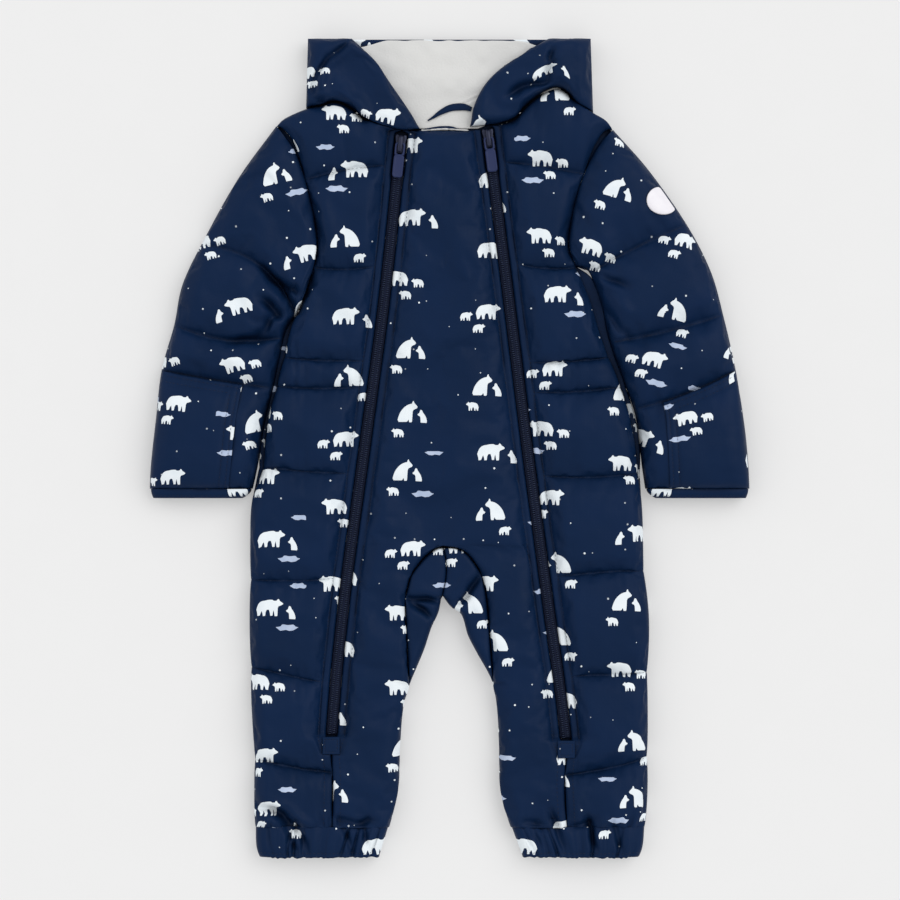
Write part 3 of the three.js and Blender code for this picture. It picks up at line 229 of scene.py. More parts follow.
BODY_FOLDS = [
    (-156, -287, -134, -291, -8, 4.5),
    (-138, -289, -121, -305, -9, 4.5),
    (-123, -300, -113, -322, -7, 3.5),
    (-132, -301, -122, -322, -6, 3),
    (-150, -280, -128, -284, 2.5, 5),
    (-126, -289, -112, -302, 3, 4.5),
    (-150, -297, -136, -301, 2, 4),
    (-92, -296, -72, -302, -6, 4),
    (-74, -302, -60, -297, -5, 4),
    (-86, -300, -78, -322, -6, 3),
    (-70, -300, -64, -320, -5, 2.8),
    (-152, -176, -110, -178, -1, 8),
    (-36, -121, -8, -122, -8, 3),
    (-32, -123, -14, -135, -8, 3.4),
    (-30, -112, -12, -114, 1.5, 5),
    (26, -103, 6, -127, -8, 3.4),
    (17, -100, 4, -114, 2, 4),
    (20, -122, 26, -136, 1.5, 5),
    (140, -250, 108, -259, -2, 5),
    (120, 60, 150, 52, -1.2, 6),
    (-70, -176, -42, -178, -1.2, 5),
    (-66, -222, -42, -212, -1.2, 6),
    (48, -150, 62, -196, -1.2, 9),
    (50, -172, 72, -180, -1, 6),
    (82, -290, 91, -322, -7, 3.5),
    (58, -298, 80, -306, -5, 4),
    (111, -294, 117, -322, -7, 3),
    (132, -298, 137, -322, -5, 3),
    (98, -303, 116, -297, -5, 3.5),
    (66, -303, 74, -321, -4, 3),
    (120, -300, 128, -294, 2, 4),
    (-30, -40, 0, -74, -1, 14),
    (10, 40, 40, 10, -0.8, 16),
    (-40, 170, -20, 100, -0.8, 14),
]
# Pleats of the ankle casings: share of the width from the outer edge, depth and width of the valley in mm
PLEATS = {
    "right": [(0.12, 1.6, 1.8), (0.25, 2.2, 1.4), (0.3, 3.0, 1.6), (0.37, 2.0, 1.6), (0.52, 1.0, 2.5),
              (0.69, 2.8, 1.3), (0.78, 3.0, 1.6), (0.84, 1.2, 1.4), (0.935, 2.2, 1.2)],
    "left": [(0.07, 1.2, 2.0), (0.2, 2.2, 1.5), (0.41, 2.8, 1.4), (0.5, 1.2, 2.0), (0.6, 1.0, 2.2),
             (0.71, 3.0, 1.6), (0.78, 1.4, 1.8), (0.89, 2.4, 2.0)],
}


def mix(a, b, t):
    """From a to b as t goes from 0 to 1."""
    return a + (b - a) * t


def smooth(t):
    """An eased step from 0 to 1, flat outside."""
    t = np.clip(t, 0, 1)
    return t * t * (3 - 2 * t)


def edge_at(rows, y):
    """x of an edge at height y, on a smooth curve through the rows of its table."""
    ys, xs = np.array(rows[::-1], float).T
    before, after = np.maximum(np.arange(len(ys)) - 1, 0), np.minimum(np.arange(len(ys)) + 1, len(ys) - 1)
    slopes = (xs[after] - xs[before]) / (ys[after] - ys[before])
    y = np.clip(y, ys[0], ys[-1])
    k = np.clip(np.searchsorted(ys, y) - 1, 0, len(ys) - 2)
    span = ys[k + 1] - ys[k]
    t = (y - ys[k]) / span
    start, end = xs[k], xs[k + 1]
    return ((2 * t**3 - 3 * t**2 + 1) * start + (t**3 - 2 * t**2 + t) * slopes[k] * span
            + (3 * t**2 - 2 * t**3) * end + (t**3 - t**2) * slopes[k + 1] * span)


def curve_through(points, shares):
    """Points of a smooth open curve at the given shares of its length."""
    p = np.array(points, float)
    p = np.vstack([2 * p[0] - p[1], p, 2 * p[-1] - p[-2]])
    dense = []
    for k in range(1, len(p) - 2):
        t = np.linspace(0, 1, 40, endpoint=False)[:, None]
        a, b, c, d = p[k - 1], p[k], p[k + 1], p[k + 2]
        dense.append(0.5 * (2 * b + (c - a) * t + (2 * a - 5 * b + 4 * c - d) * t**2
                            + (3 * b - a - 3 * c + d) * t**3))
    dense = np.vstack(dense + [p[-2:-1]])
    length = np.concatenate([[0], np.cumsum(np.linalg.norm(np.diff(dense, axis=0), axis=1))])
    at = np.clip(shares, 0, 1) * length[-1]
    return np.stack([np.interp(at, length, dense[:, i]) for i in range(dense.shape[1])], -1)


def noise_along(seed, spacing, x):
    """A smooth random curve between -1 and 1, with a knot every spacing."""
    knots = np.random.default_rng(seed).uniform(-1, 1, 256)
    t = np.asarray(x, float) / spacing
    k = np.floor(t).astype(int)
    return mix(knots[k % 256], knots[(k + 1) % 256], smooth(t - k))


def noise_over(seed, spacing, x, y):
    """A smooth random surface between -1 and 1, with a knot every spacing."""
    knots = np.random.default_rng(seed).uniform(-1, 1, (64, 64))
    s, t = np.asarray(x, float) / spacing, np.asarray(y, float) / spacing
    i, j = np.floor(s).astype(int), np.floor(t).astype(int)
    f, g = smooth(s - i), smooth(t - j)
    low = mix(knots[i % 64, j % 64], knots[(i + 1) % 64, j % 64], f)
    high = mix(knots[i % 64, (j + 1) % 64], knots[(i + 1) % 64, (j + 1) % 64], f)
    return mix(low, high, g)


def rise(distance, radius):
    """0 at an edge, rising as a quarter round to 1 at the given distance inside it."""
    inside = np.clip(distance / radius, 0, 1)
    return np.sqrt(1 - (1 - inside) ** 2)


def swell(share):
    """How far the padding swells between two quilting lines."""
    return (1 - np.abs(2 * np.clip(share, 0, 1) - 1) ** 2.3) ** 0.6


def puckers(along, away, seed, reach):
    """Small gathers that run away from a seam: pinched valleys with rounded cloth between them."""
    lean = along + 0.25 * away * noise_along(seed + 1, 30, along)
    total = 0
    for spacing, share, far in ((3.5, 0.45, 0.35), (7, 0.8, 0.7), (15, 1.0, 1.3)):
        at = away / (reach * far * 0.4)
        fade = at * np.exp(1 - at)
        wave = noise_along(seed + int(spacing * 10), spacing, lean)
        total = total + share * (np.abs(wave) * 2 - 1) * fade
    return total


def folds_at(folds, x, y):
    """What a list of given folds adds to the height at a point."""
    total = 0
    for x0, y0, x1, y1, height, width in folds:
        dx, dy = x1 - x0, y1 - y0
        length = math.hypot(dx, dy)
        along = np.clip(((x - x0) * dx + (y - y0) * dy) / length**2, 0, 1)
        bend = noise_along(int(abs(x0) * 7 + abs(y0)), length / 3, along * length) * width * 0.35
        away = np.hypot(x - x0 - along * dx + bend * dy / length, y - y0 - along * dy - bend * dx / length)
        ends = np.sin(np.pi * np.clip(0.08 + 0.84 * along, 0, 1)) ** 0.7
        total = total + height * ends * np.exp(-((away / width) ** 2) * 1.5)
    return total


def zip_slot(side, y):
    """Half the width of the opening that a zip lies in, at height y."""
    below = np.clip((ZIP_END[side] - y) / END_PATCH, 0, 1)
    above = np.clip((y - ZIP_TOP[side] - 1) / 2, 0, 1)
    return ZIP_HALF_CHANNEL * (1 - below) * (1 - above)


def body_edge(side, y, rows=BODY_SIDE):
    """x of the trunk's edge at height y: the armhole above, the side seam below."""
    y = np.asarray(y, float)
    armpit = ARMHOLE[side][-1][0]
    lowest = rows[side][-1][0]
    below = np.where(y < lowest, edge_at(BODY_SIDE[side], y), edge_at(rows[side], y))
    return np.where(y >= armpit, edge_at(ARMHOLE[side], y), below)


class Pattern:
    """Points and faces of one piece, in mm, with each face corner's place on the flat cut."""

    def __init__(self):
        self.points = []
        self.faces = []
        self.cuts = []

    def grid(self, points, cut=None, wrap=False):
        """Adds a grid of points. A wrapped grid's last column lies on its first one."""
        rows, columns = points.shape[:2]
        cut = points[..., :2] if cut is None else cut
        kept = columns - 1 if wrap else columns
        first = len(self.points)
        self.points.extend(points[:, :kept].reshape(-1, 3).tolist())
        r, c = np.meshgrid(np.arange(rows - 1), np.arange(columns - 1), indexing="ij")
        corners = ((r, c), (r, c + 1), (r + 1, c + 1), (r + 1, c))
        faces = np.stack([first + a * kept + b % kept for a, b in corners], -1)
        self.faces.extend(faces.reshape(-1, 4).tolist())
        self.cuts.extend(np.stack([cut[a, b] for a, b in corners], -2).reshape(-1, 4, 2).tolist())
        return self

    def slab(self, top, bottom, cut=None):
        """Adds a closed wall between two grids that share their plan."""
        cut = top[..., :2] if cut is None else cut
        self.grid(top, cut)
        self.grid(bottom, cut)
        around = lambda a: np.concatenate([a[0, :-1], a[:-1, -1], a[-1, :0:-1], a[::-1, 0][:-1], a[0, :1]])
        rim = np.stack([around(top), around(bottom)])
        return self.grid(rim, np.stack([around(cut), around(cut)]), wrap=True)

    def tube(self, rings, cut, capped=False):
        """Adds a tube of closed rings, the last point of each ring on its first."""
        self.grid(rings, cut, wrap=True)
        if capped:
            self.cap(rings[0])
            self.cap(rings[-1])
        return self

    def cap(self, ring):
        """Closes a ring with one face."""
        first = len(self.points)
        self.points.extend(ring[:-1].tolist())
        self.faces.append(list(range(first, first + len(ring) - 1)))
        self.cuts.append(ring[:-1, :2].tolist())

    def build(self, name, material, floor=None, weld=0.02, offset=(0, 0)):
        """Makes the piece. With a floor, its open rim goes down to that height and is closed there."""
        mesh = bpy.data.meshes.new(name)
        mesh.from_pydata((np.array(self.points) * MM).tolist(), [], self.faces)
        layer = mesh.uv_layers.new(name="cut")
        layer.data.foreach_set("uv", ((np.concatenate(self.cuts) + offset) * MM).astype(np.float32).ravel())
        bm = bmesh.new()
        bm.from_mesh(mesh)
        bmesh.ops.remove_doubles(bm, verts=bm.verts, dist=weld * MM)
        if floor is not None:
            self.close(bm, floor, offset)
        bmesh.ops.recalc_face_normals(bm, faces=bm.faces)
        for face in bm.faces:
            face.smooth = True
        bm.to_mesh(mesh)
        bm.free()
        obj = bpy.data.objects.new(name, mesh)
        bpy.context.scene.collection.objects.link(obj)
        mesh.materials.append(material)
        return obj

    @staticmethod
    def close(bm, floor, offset):
        layer = bm.loops.layers.uv["cut"]
        rim = [edge for edge in bm.edges if edge.is_boundary]
        bm.faces.index_update()
        known = set(range(len(bm.faces)))
        made = bmesh.ops.extrude_edge_only(bm, edges=rim)["geom"]
        for item in made:
            if isinstance(item, bmesh.types.BMVert):
                item.co.z = floor * MM
        lower = [item for item in made if isinstance(item, bmesh.types.BMEdge) and item.is_boundary]
        cap = bmesh.ops.edgeloop_fill(bm, edges=lower)["faces"]
        for face in cap:
            for loop in face.loops:
                loop[layer].uv = (loop.vert.co.x + offset[0] * MM, loop.vert.co.y + offset[1] * MM)
        # Walls carry on the cut of the cloth above them, so that the print isn't drawn out down their height
        for edge in rim:
            wall, above = sorted(edge.link_faces, key=lambda face: face.index in known)
            places = {loop.vert: loop[layer].uv.copy() for loop in above.loops}
            middle = sum(places.values(), Vector((0, 0))) / len(places)
            out = ((places[edge.verts[0]] + places[edge.verts[1]]) / 2 - middle).normalized()
            for loop in wall.loops:
                top = loop.vert
                if top not in places:
                    top = next(e.other_vert(top) for e in top.link_edges if e.other_vert(top) in places)
                loop[layer].uv = places[top] + out * (top.co.z - loop.vert.co.z)


def lay(pattern, node, cut, area, rests_on=("back",), finish="shell", slot="shell", held="laid", **build):
    """Builds the cloth that replaces a solid, attaches it to the garment's body and hides the solid; its cut,
    sizes in mm, is not used.
    """
    cloth = pattern.build(f"{node}_cloth", finish_named(finish), **build)
    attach(cloth, GARMENT)
    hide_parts(node)


# Colours and materials

def linear(hex_colour):
    """An sRGB hex colour such as '#1b2947' as linear red, green, blue and alpha."""
    parts = [int(hex_colour[i:i + 2], 16) / 255 for i in (1, 3, 5)]
    return tuple(p / 12.92 if p <= 0.04045 else ((p + 0.055) / 1.055) ** 2.4 for p in parts) + (1.0,)


def add(tree, kind, *inputs, **settings):
    """Adds a node, sets its settings, and links or sets its inputs in order. None leaves one alone.

    A node that is given as an input stands for its first output."""
    node = tree.nodes.new(kind if kind.startswith("NodeGroup") else "ShaderNode" + kind)
    for key, value in settings.items():
        setattr(node, key, value)
    for socket, value in zip(node.inputs, inputs):
        if isinstance(value, bpy.types.Node):
            value = value.outputs[0]
        if isinstance(value, bpy.types.NodeSocket):
            tree.links.new(value, socket)
        elif value is not None:
            socket.default_value = value
    return node


# Profiles of the printed figures, drawn for this suit: (share of length, height) along the upper and the
# lower outline of a figure that faces left, both from 0 to 1
WALKING_TOP = [(0, 0.73), (0.05, 0.81), (0.11, 0.87), (0.15, 0.96), (0.19, 1.0), (0.23, 0.92), (0.32, 0.90),
               (0.42, 0.96), (0.54, 0.95), (0.66, 0.91), (0.78, 0.87), (0.88, 0.77), (0.95, 0.60), (1, 0.38)]
WALKING_LOW = [(0, 0.73), (0.03, 0.67), (0.10, 0.62), (0.17, 0.58), (0.20, 0.48), (0.21, 0.05), (0.225, 0),
               (0.31, 0), (0.325, 0.14), (0.35, 0.36), (0.375, 0.2), (0.39, 0.03), (0.47, 0.02), (0.485, 0.2),
               (0.52, 0.38), (0.60, 0.37), (0.64, 0.24), (0.655, 0.02), (0.74, 0), (0.755, 0.16),
               (0.785, 0.3), (0.82, 0.2), (0.86, 0.03), (0.95, 0.0), (0.97, 0.2), (1, 0.38)]
SITTING_TOP = [(0, 0.72), (0.05, 0.79), (0.12, 0.86), (0.17, 0.92), (0.205, 1.0), (0.25, 0.96), (0.28, 0.88),
               (0.36, 0.86), (0.48, 0.82), (0.62, 0.74), (0.75, 0.62), (0.87, 0.46), (0.95, 0.28), (1, 0.12)]
SITTING_LOW = [(0, 0.72), (0.05, 0.65), (0.13, 0.62), (0.21, 0.58), (0.25, 0.50), (0.262, 0.3), (0.28, 0.05),
               (0.31, 0), (0.42, 0), (0.445, 0.1), (0.47, 0.13), (0.50, 0.06), (0.56, 0.02), (0.95, 0.02),
               (1, 0.12)]
CUB_TOP = [(0, 0.64), (0.10, 0.71), (0.20, 0.77), (0.27, 0.92), (0.36, 1.0), (0.48, 0.96), (0.56, 0.84),
           (0.64, 0.74), (0.76, 0.62), (0.88, 0.45), (0.96, 0.28), (1, 0.12)]
CUB_LOW = [(0, 0.64), (0.12, 0.55), (0.26, 0.51), (0.32, 0.40), (0.34, 0.03), (0.96, 0), (1, 0.12)]
FLOE_TOP = [(0, 0.55), (0.12, 0.66), (0.24, 0.96), (0.45, 0.90), (0.68, 1.0), (0.80, 0.70), (1, 0.58)]
FLOE_LOW = [(0, 0.55), (0.22, 0.08), (0.40, 0.0), (0.55, 0.16), (0.80, 0.02), (1, 0.58)]


def set_curve(node, points, straight=False):
    """Puts a profile's points on a Float Curve node."""
    curve = node.mapping.curves[0]
    while len(curve.points) < len(points):
        curve.points.new(0.5, 0.5)
    for point, (x, y) in zip(curve.points, points):
        point.location = (x, y)
        point.handle_type = "VECTOR" if straight else "AUTO_CLAMPED"
    node.mapping.update()


def figure(tree, place, centre, size, turned, top, low):
    """A printed figure's mask. place is the point in its cell in mm; turned is 1 when it faces left, -1
    right.
    """
    moved = add(tree, "VectorMath", place, centre, operation="SUBTRACT")
    mirror = add(tree, "CombineXYZ", turned, 1.0, 1.0)
    faced = add(tree, "VectorMath", moved, mirror, operation="MULTIPLY")
    share = add(tree, "VectorMath", faced, (size[0], size[1], 1), operation="DIVIDE")
    split = add(tree, "SeparateXYZ", share)
    along = add(tree, "Math", split, 0.5, operation="ADD")
    up = add(tree, "Math", split.outputs[1], 0.5, operation="ADD")
    upper = add(tree, "FloatCurve", 1.0, along)
    set_curve(upper, top)
    lower = add(tree, "FloatCurve", 1.0, along)
    set_curve(lower, low, straight=True)
    tests = (
        add(tree, "Math", up, upper, operation="LESS_THAN"),
        add(tree, "Math", up, lower, operation="GREATER_THAN"),
        add(tree, "Math", along, 0.0, operation="GREATER_THAN"),
        add(tree, "Math", along, 1.0, operation="LESS_THAN"),
    )
    mask = tests[0]
    for test in tests[1:]:
        mask = add(tree, "Math", mask, test, operation="MULTIPLY")
    return mask.outputs[0]


def largest(tree, masks):
    """The largest of several masks at each point."""
    total = masks[0]
    for mask in masks[1:]:
        total = add(tree, "Math", total, mask, operation="MAXIMUM").outputs[0]
    return total


def print_group(sizes):
    """The print as a node group: bears, cubs, ice floes and snow dots from a place on the cut, in mm."""
    tree = bpy.data.node_groups.new("bear_print", "ShaderNodeTree")
    tree.interface.new_socket("Place", in_out="INPUT", socket_type="NodeSocketVector")
    tree.interface.new_socket("Ground", in_out="INPUT", socket_type="NodeSocketColor")
    tree.interface.new_socket("Colour", in_out="OUTPUT", socket_type="NodeSocketColor")
    tree.interface.new_socket("Ink", in_out="OUTPUT", socket_type="NodeSocketFloat")
    start, end = add(tree, "NodeGroupInput"), add(tree, "NodeGroupOutput")
    place = start.outputs["Place"]

    # Cells in a half drop: every other column stands half a cell higher
    wide, high = sizes.print_pitch_x / MM, sizes.print_pitch_y / MM
    split = add(tree, "SeparateXYZ", place)
    across = add(tree, "Math", split, wide, operation="DIVIDE")
    column = add(tree, "Math", across, operation="FLOOR")
    odd = add(tree, "Math", column, 2.0, operation="FLOORED_MODULO")
    upward = add(tree, "Math", split.outputs[1], high, operation="DIVIDE")
    dropped = add(tree, "Math", odd, 0.5, upward, operation="MULTIPLY_ADD")
    row = add(tree, "Math", dropped, operation="FLOOR")
    in_x = add(tree, "Math", across, column, operation="SUBTRACT")
    in_y = add(tree, "Math", dropped, row, operation="SUBTRACT")
    inside = add(tree, "CombineXYZ", in_x, in_y, 0.0)
    centred = add(tree, "VectorMath", inside, (0.5, 0.5, 0), operation="SUBTRACT")
    local = add(tree, "VectorMath", centred, (wide, high, 1), operation="MULTIPLY")
    cell = add(tree, "CombineXYZ", column, row, float(PRINT_SEED))
    chance = add(tree, "TexWhiteNoise", cell, noise_dimensions="3D")
    chances = add(tree, "SeparateColor", chance.outputs["Color"])

    # Each cell's group stands a little off its centre and faces left or right
    jitter = add(tree, "VectorMath", chance.outputs["Color"], (0.5, 0.5, 0.5), operation="SUBTRACT")
    moved = add(tree, "VectorMath", jitter, (14, 14, 0), operation="MULTIPLY")
    spot = add(tree, "VectorMath", local, moved, operation="SUBTRACT")
    coin = add(tree, "Math", chances.outputs[2], 0.5, operation="GREATER_THAN")
    way = add(tree, "Math", coin, 2.0, -1.0, operation="MULTIPLY_ADD")
    flip = add(tree, "CombineXYZ", way, 1.0, 1.0)
    faced = add(tree, "VectorMath", spot, flip, operation="MULTIPLY").outputs[0]

    # Three kinds of cell, by chance: a walking mother with two cubs, a sitting mother with her cub and a
    # floe, and a lone bear on a floe
    mother, cub, seated, small = (20, 12.5), (10, 7), (16, 17), (7.6, 10.5)
    walkers = [
        figure(tree, faced, (-5, 4, 0), mother, 1.0, WALKING_TOP, WALKING_LOW),
        figure(tree, faced, (12.5, 0, 0), cub, 1.0, WALKING_TOP, WALKING_LOW),
        figure(tree, faced, (2.5, -9.5, 0), cub, 1.0, WALKING_TOP, WALKING_LOW),
    ]
    sitters = [
        figure(tree, faced, (5, 5, 0), seated, 1.0, SITTING_TOP, SITTING_LOW),
        figure(tree, faced, (-6.6, 1.2, 0), small, -1.0, CUB_TOP, CUB_LOW),
        figure(tree, faced, (13, -12, 0), cub, -1.0, WALKING_TOP, WALKING_LOW),
    ]
    strollers = [
        figure(tree, faced, (3, 2, 0), (22, 13.5), 1.0, WALKING_TOP, WALKING_LOW),
        figure(tree, faced, (-14, -2, 0), small, -1.0, CUB_TOP, CUB_LOW),
    ]
    floes = [
        figure(tree, faced, (-11, -14, 0), (18, 5.2), 1.0, FLOE_TOP, FLOE_LOW),
        figure(tree, faced, (-20, 19, 0), (15, 4.4), -1.0, FLOE_TOP, FLOE_LOW),
    ]
    kinds = []
    for least, most, figures in ((-0.1, 0.32, walkers), (0.32, 0.74, sitters), (0.74, 1.01, strollers)):
        above = add(tree, "Math", chances, least, operation="GREATER_THAN")
        below = add(tree, "Math", chances, most, operation="LESS_THAN")
        chosen = add(tree, "Math", above, below, operation="MULTIPLY")
        group = largest(tree, figures)
        kinds.append(add(tree, "Math", group, chosen, operation="MULTIPLY").outputs[0])
    bears = largest(tree, kinds)
    some = add(tree, "Math", chances.outputs[1], 0.76, operation="GREATER_THAN")
    floe_mask = largest(tree, floes)
    floe = add(tree, "Math", floe_mask, some, operation="MULTIPLY")
    bare = add(tree, "Math", 1.0, bears, operation="SUBTRACT")
    floe = add(tree, "Math", floe, bare, operation="MULTIPLY").outputs[0]

    # Snow: small round dots of uneven size, some fainter
    dots = add(tree, "TexVoronoi", place, None, 1 / 19, voronoi_dimensions="2D")
    dots.inputs["Randomness"].default_value = 0.9
    dot_chance = add(tree, "SeparateColor", dots.outputs["Color"])
    radius = add(tree, "Math", dot_chance, 0.022, 0.021, operation="MULTIPLY_ADD")
    near = add(tree, "Math", dots.outputs["Distance"], radius, operation="LESS_THAN")
    kept = add(tree, "Math", dot_chance.outputs[1], 0.66, operation="GREATER_THAN")
    snow = add(tree, "Math", near, kept, operation="MULTIPLY")
    faint = add(tree, "Math", dot_chance.outputs[2], 0.6, 0.4, operation="MULTIPLY_ADD")
    snow = add(tree, "Math", snow, faint, operation="MULTIPLY").outputs[0]

    # Bears are white with a wash of grey, floes pale blue with a paler middle
    wash = add(tree, "TexNoise", place, None, 1 / 9, 2.0, noise_dimensions="2D")
    white = add(tree, "Mix", wash.outputs["Fac"], data_type="RGBA")
    white.inputs[6].default_value = linear("#eff5f8")
    white.inputs[7].default_value = linear("#e2ebf2")
    ice = add(tree, "Mix", wash.outputs["Fac"], data_type="RGBA")
    ice.inputs[6].default_value = linear("#c6d2e8")
    ice.inputs[7].default_value = linear("#a3b4d2")
    layer = start.outputs["Ground"]
    for mask, colour in ((snow, white), (floe, ice), (bears, white)):
        over = add(tree, "Mix", mask, data_type="RGBA")
        tree.links.new(layer, over.inputs[6])
        tree.links.new(colour.outputs[2], over.inputs[7])
        layer = over.outputs[2]
    tree.links.new(layer, end.inputs["Colour"])
    tree.links.new(largest(tree, [snow, floe, bears]), end.inputs["Ink"])
    return tree


def start_material(name, levels):
    """A material and its node tree, with some of its shader's inputs set."""
    material = bpy.data.materials.new(name)
    material.use_nodes = True
    shader = material.node_tree.nodes["Principled BSDF"]
    for key, value in levels.items():
        shader.inputs[key].default_value = value
    return material, material.node_tree


def dress(tree, share, tones, bump=None, rough=None):
    """Links two tones mixed by a share to the shader, and what makes the surface uneven.

    bump is (height, strength, depth in mm); rough is (share, its least, its most, roughness at each)."""
    shader = tree.nodes["Principled BSDF"]
    colour = add(tree, "Mix", share, data_type="RGBA")
    colour.inputs[6].default_value = (*tones[0], 1)
    colour.inputs[7].default_value = linear(tones[1])
    tree.links.new(colour.outputs[2], shader.inputs["Base Color"])
    if bump:
        height, strength, depth = bump
        bumped = add(tree, "Bump", strength, depth * MM)
        tree.links.new(height, bumped.inputs["Height"])
        tree.links.new(bumped.outputs[0], shader.inputs["Normal"])
    if rough:
        tree.links.new(add(tree, "MapRange", *rough).outputs[0], shader.inputs["Roughness"])


def cut_place(tree):
    """The place on the flat cut in mm."""
    uv = add(tree, "UVMap", uv_map="cut")
    return add(tree, "VectorMath", uv, (1 / MM, 1 / MM, 0), operation="MULTIPLY").outputs[0]


def object_place(tree):
    """The place on the object in mm."""
    coordinates = add(tree, "TexCoord")
    scaled = add(tree, "VectorMath", coordinates.outputs["Object"], (1 / MM,) * 3, operation="MULTIPLY")
    return scaled.outputs[0]


def printed_nylon(sizes, colours):
    """Woven nylon taffeta, printed and calendered: dark matt-satin cloth with a faint sheen on its folds."""
    levels = {"IOR": 1.53, "Specular IOR Level": 0.07}
    material, tree = start_material("printed_nylon_taffeta", levels)
    shader = tree.nodes["Principled BSDF"]
    place = cut_place(tree)
    # Dye: the navy is a shade uneven over a hand's breadth
    uneven = add(tree, "TexNoise", place, None, 1 / 60, 2.0, noise_dimensions="2D")
    ground = add(tree, "Mix", uneven.outputs["Fac"], data_type="RGBA")
    ground.inputs[6].default_value = (*colours.navy, 1)
    ground.inputs[7].default_value = (*colours.navy_light, 1)
    printed = add(tree, "Group", node_tree=print_group(sizes))
    tree.links.new(place, printed.inputs["Place"])
    tree.links.new(ground.outputs[2], printed.inputs["Ground"])
    # Painted shade: the colour is darkened where ambient occlusion finds the cloth pinched into a seam or a
    # fold
    pinched = add(tree, "AmbientOcclusion", None, 9 * MM, samples=8)
    deep = add(tree, "MapRange", pinched.outputs["AO"], 0.25, 0.8, 0.3, 1.0)
    painted_crease_shade = add(tree, "VectorMath", printed.outputs["Colour"], operation="SCALE")
    tree.links.new(deep.outputs[0], painted_crease_shade.inputs["Scale"])
    tree.links.new(painted_crease_shade.outputs[0], shader.inputs["Base Color"])
    # Weave: real threads are 0.15 mm apart, drawn at 0.7 mm so that they show
    thread = sizes.thread_spacing / MM
    turned = add(tree, "VectorRotate", place, rotation_type="Z_AXIS")
    turned.inputs["Angle"].default_value = math.pi / 2
    weft = add(tree, "TexWave", place, 1 / thread / math.tau * 0.5, 0.4, 1.0, bands_direction="X")
    warp = add(tree, "TexWave", turned, 1 / thread / math.tau * 0.5, 0.4, 1.0, bands_direction="X")
    weave = add(tree, "Math", weft.outputs["Fac"], warp.outputs["Fac"], operation="MULTIPLY")
    crinkle = add(tree, "TexNoise", place, None, 1 / 7, 3.0, noise_dimensions="2D")
    height = add(tree, "Math", crinkle.outputs["Fac"], 6.0, weave, operation="MULTIPLY_ADD")
    bump = add(tree, "Bump", 0.2, 0.15 * MM)
    tree.links.new(height.outputs[0], bump.inputs["Height"])
    tree.links.new(bump.outputs[0], shader.inputs["Normal"])
    # Ink lies on the threads and is a little more matt
    rough = add(tree, "MapRange", crinkle.outputs["Fac"], 0.3, 0.7, 0.42, 0.52)
    inked = add(tree, "Math", printed.outputs["Ink"], 0.12, rough, operation="MULTIPLY_ADD")
    tree.links.new(inked.outputs[0], shader.inputs["Roughness"])
    return material


def brushed_jersey(colours):
    """Cotton jersey, brushed inside the hood: a warm white with a soft nap and no gloss."""
    levels = {"Roughness": 0.95, "Sheen Weight": 0.4}
    material, tree = start_material("brushed_cotton_jersey", levels)
    place = cut_place(tree)
    nap = add(tree, "TexNoise", place, None, 1 / 1.6, 5.0, noise_dimensions="2D").outputs["Fac"]
    patch = add(tree, "TexNoise", place, None, 1 / 30, 2.0, noise_dimensions="2D").outputs["Fac"]
    dress(tree, patch, (colours.lining, "#dadad8"), bump=(nap, 0.5, 0.4))
    return material


def woven_tape(colours):
    """Polyester zip tape, woven in a herringbone: near black, with fine ribs along its length."""
    levels = {"Roughness": 0.7, "Specular IOR Level": 0.15}
    material, tree = start_material("woven_polyester_tape", levels)
    ribs = add(tree, "TexWave", object_place(tree), 0.5, 1.5, 2.0, bands_direction="DIAGONAL").outputs["Fac"]
    dress(tree, ribs, (colours.zip_tape, "#111a34"), bump=(ribs, 0.4, 0.3))
    return material


def nylon_filament(colours):
    """Nylon monofilament, coiled into teeth: near black with a small bright gloss on each turn."""
    material, tree = start_material("nylon_coil_filament", {"Specular IOR Level": 0.3})
    speck = add(tree, "TexNoise", object_place(tree), None, 1 / 3, 3.0).outputs["Fac"]
    dress(tree, speck, (colours.zip_coil, "#33405e"), rough=(speck, 0.2, 0.8, 0.3, 0.5))
    return material


def enamelled_zinc(colours):
    """Die-cast zinc under a dark blue stoved enamel: satin, worn paler at its edges."""
    material, tree = start_material("enamelled_zinc", {"Metallic": 0.5})
    worn = add(tree, "TexNoise", object_place(tree), None, 1 / 1.2, 5.0).outputs["Fac"]
    edge = add(tree, "NewGeometry").outputs["Pointiness"]
    sharp = add(tree, "MapRange", edge, 0.5, 0.62, 0.0, 0.6)
    amount = add(tree, "Math", sharp, worn, operation="MULTIPLY")
    dress(tree, amount, (colours.slider, "#6c7389"), rough=(worn, 0.3, 0.7, 0.28, 0.46))
    return material


def moulded_pvc(colours):
    """Soft PVC, moulded as a flat tab: slate blue, satin, with a fine mould grain."""
    material, tree = start_material("moulded_soft_pvc", {"Specular IOR Level": 0.25})
    place = object_place(tree)
    grain = add(tree, "TexNoise", place, None, 1 / 0.5, 4.0).outputs["Fac"]
    cloud = add(tree, "TexNoise", place, None, 1 / 8, 2.0).outputs["Fac"]
    tones = (colours.pull_grip, "#243058")
    dress(tree, cloud, tones, bump=(grain, 0.3, 0.1), rough=(grain, 0.3, 0.7, 0.38, 0.52))
    return material


def spun_thread(colours):
    """Spun polyester sewing thread, navy: two twisted plies, matt and a shade lighter than the cloth."""
    material, tree = start_material("spun_polyester_thread", {"Roughness": 0.75})
    twist = add(tree, "TexWave", object_place(tree), 2.0, 1.0, 1.0, bands_direction="DIAGONAL")
    dress(tree, twist.outputs["Fac"], (colours.thread, "#0b1730"))
    return material


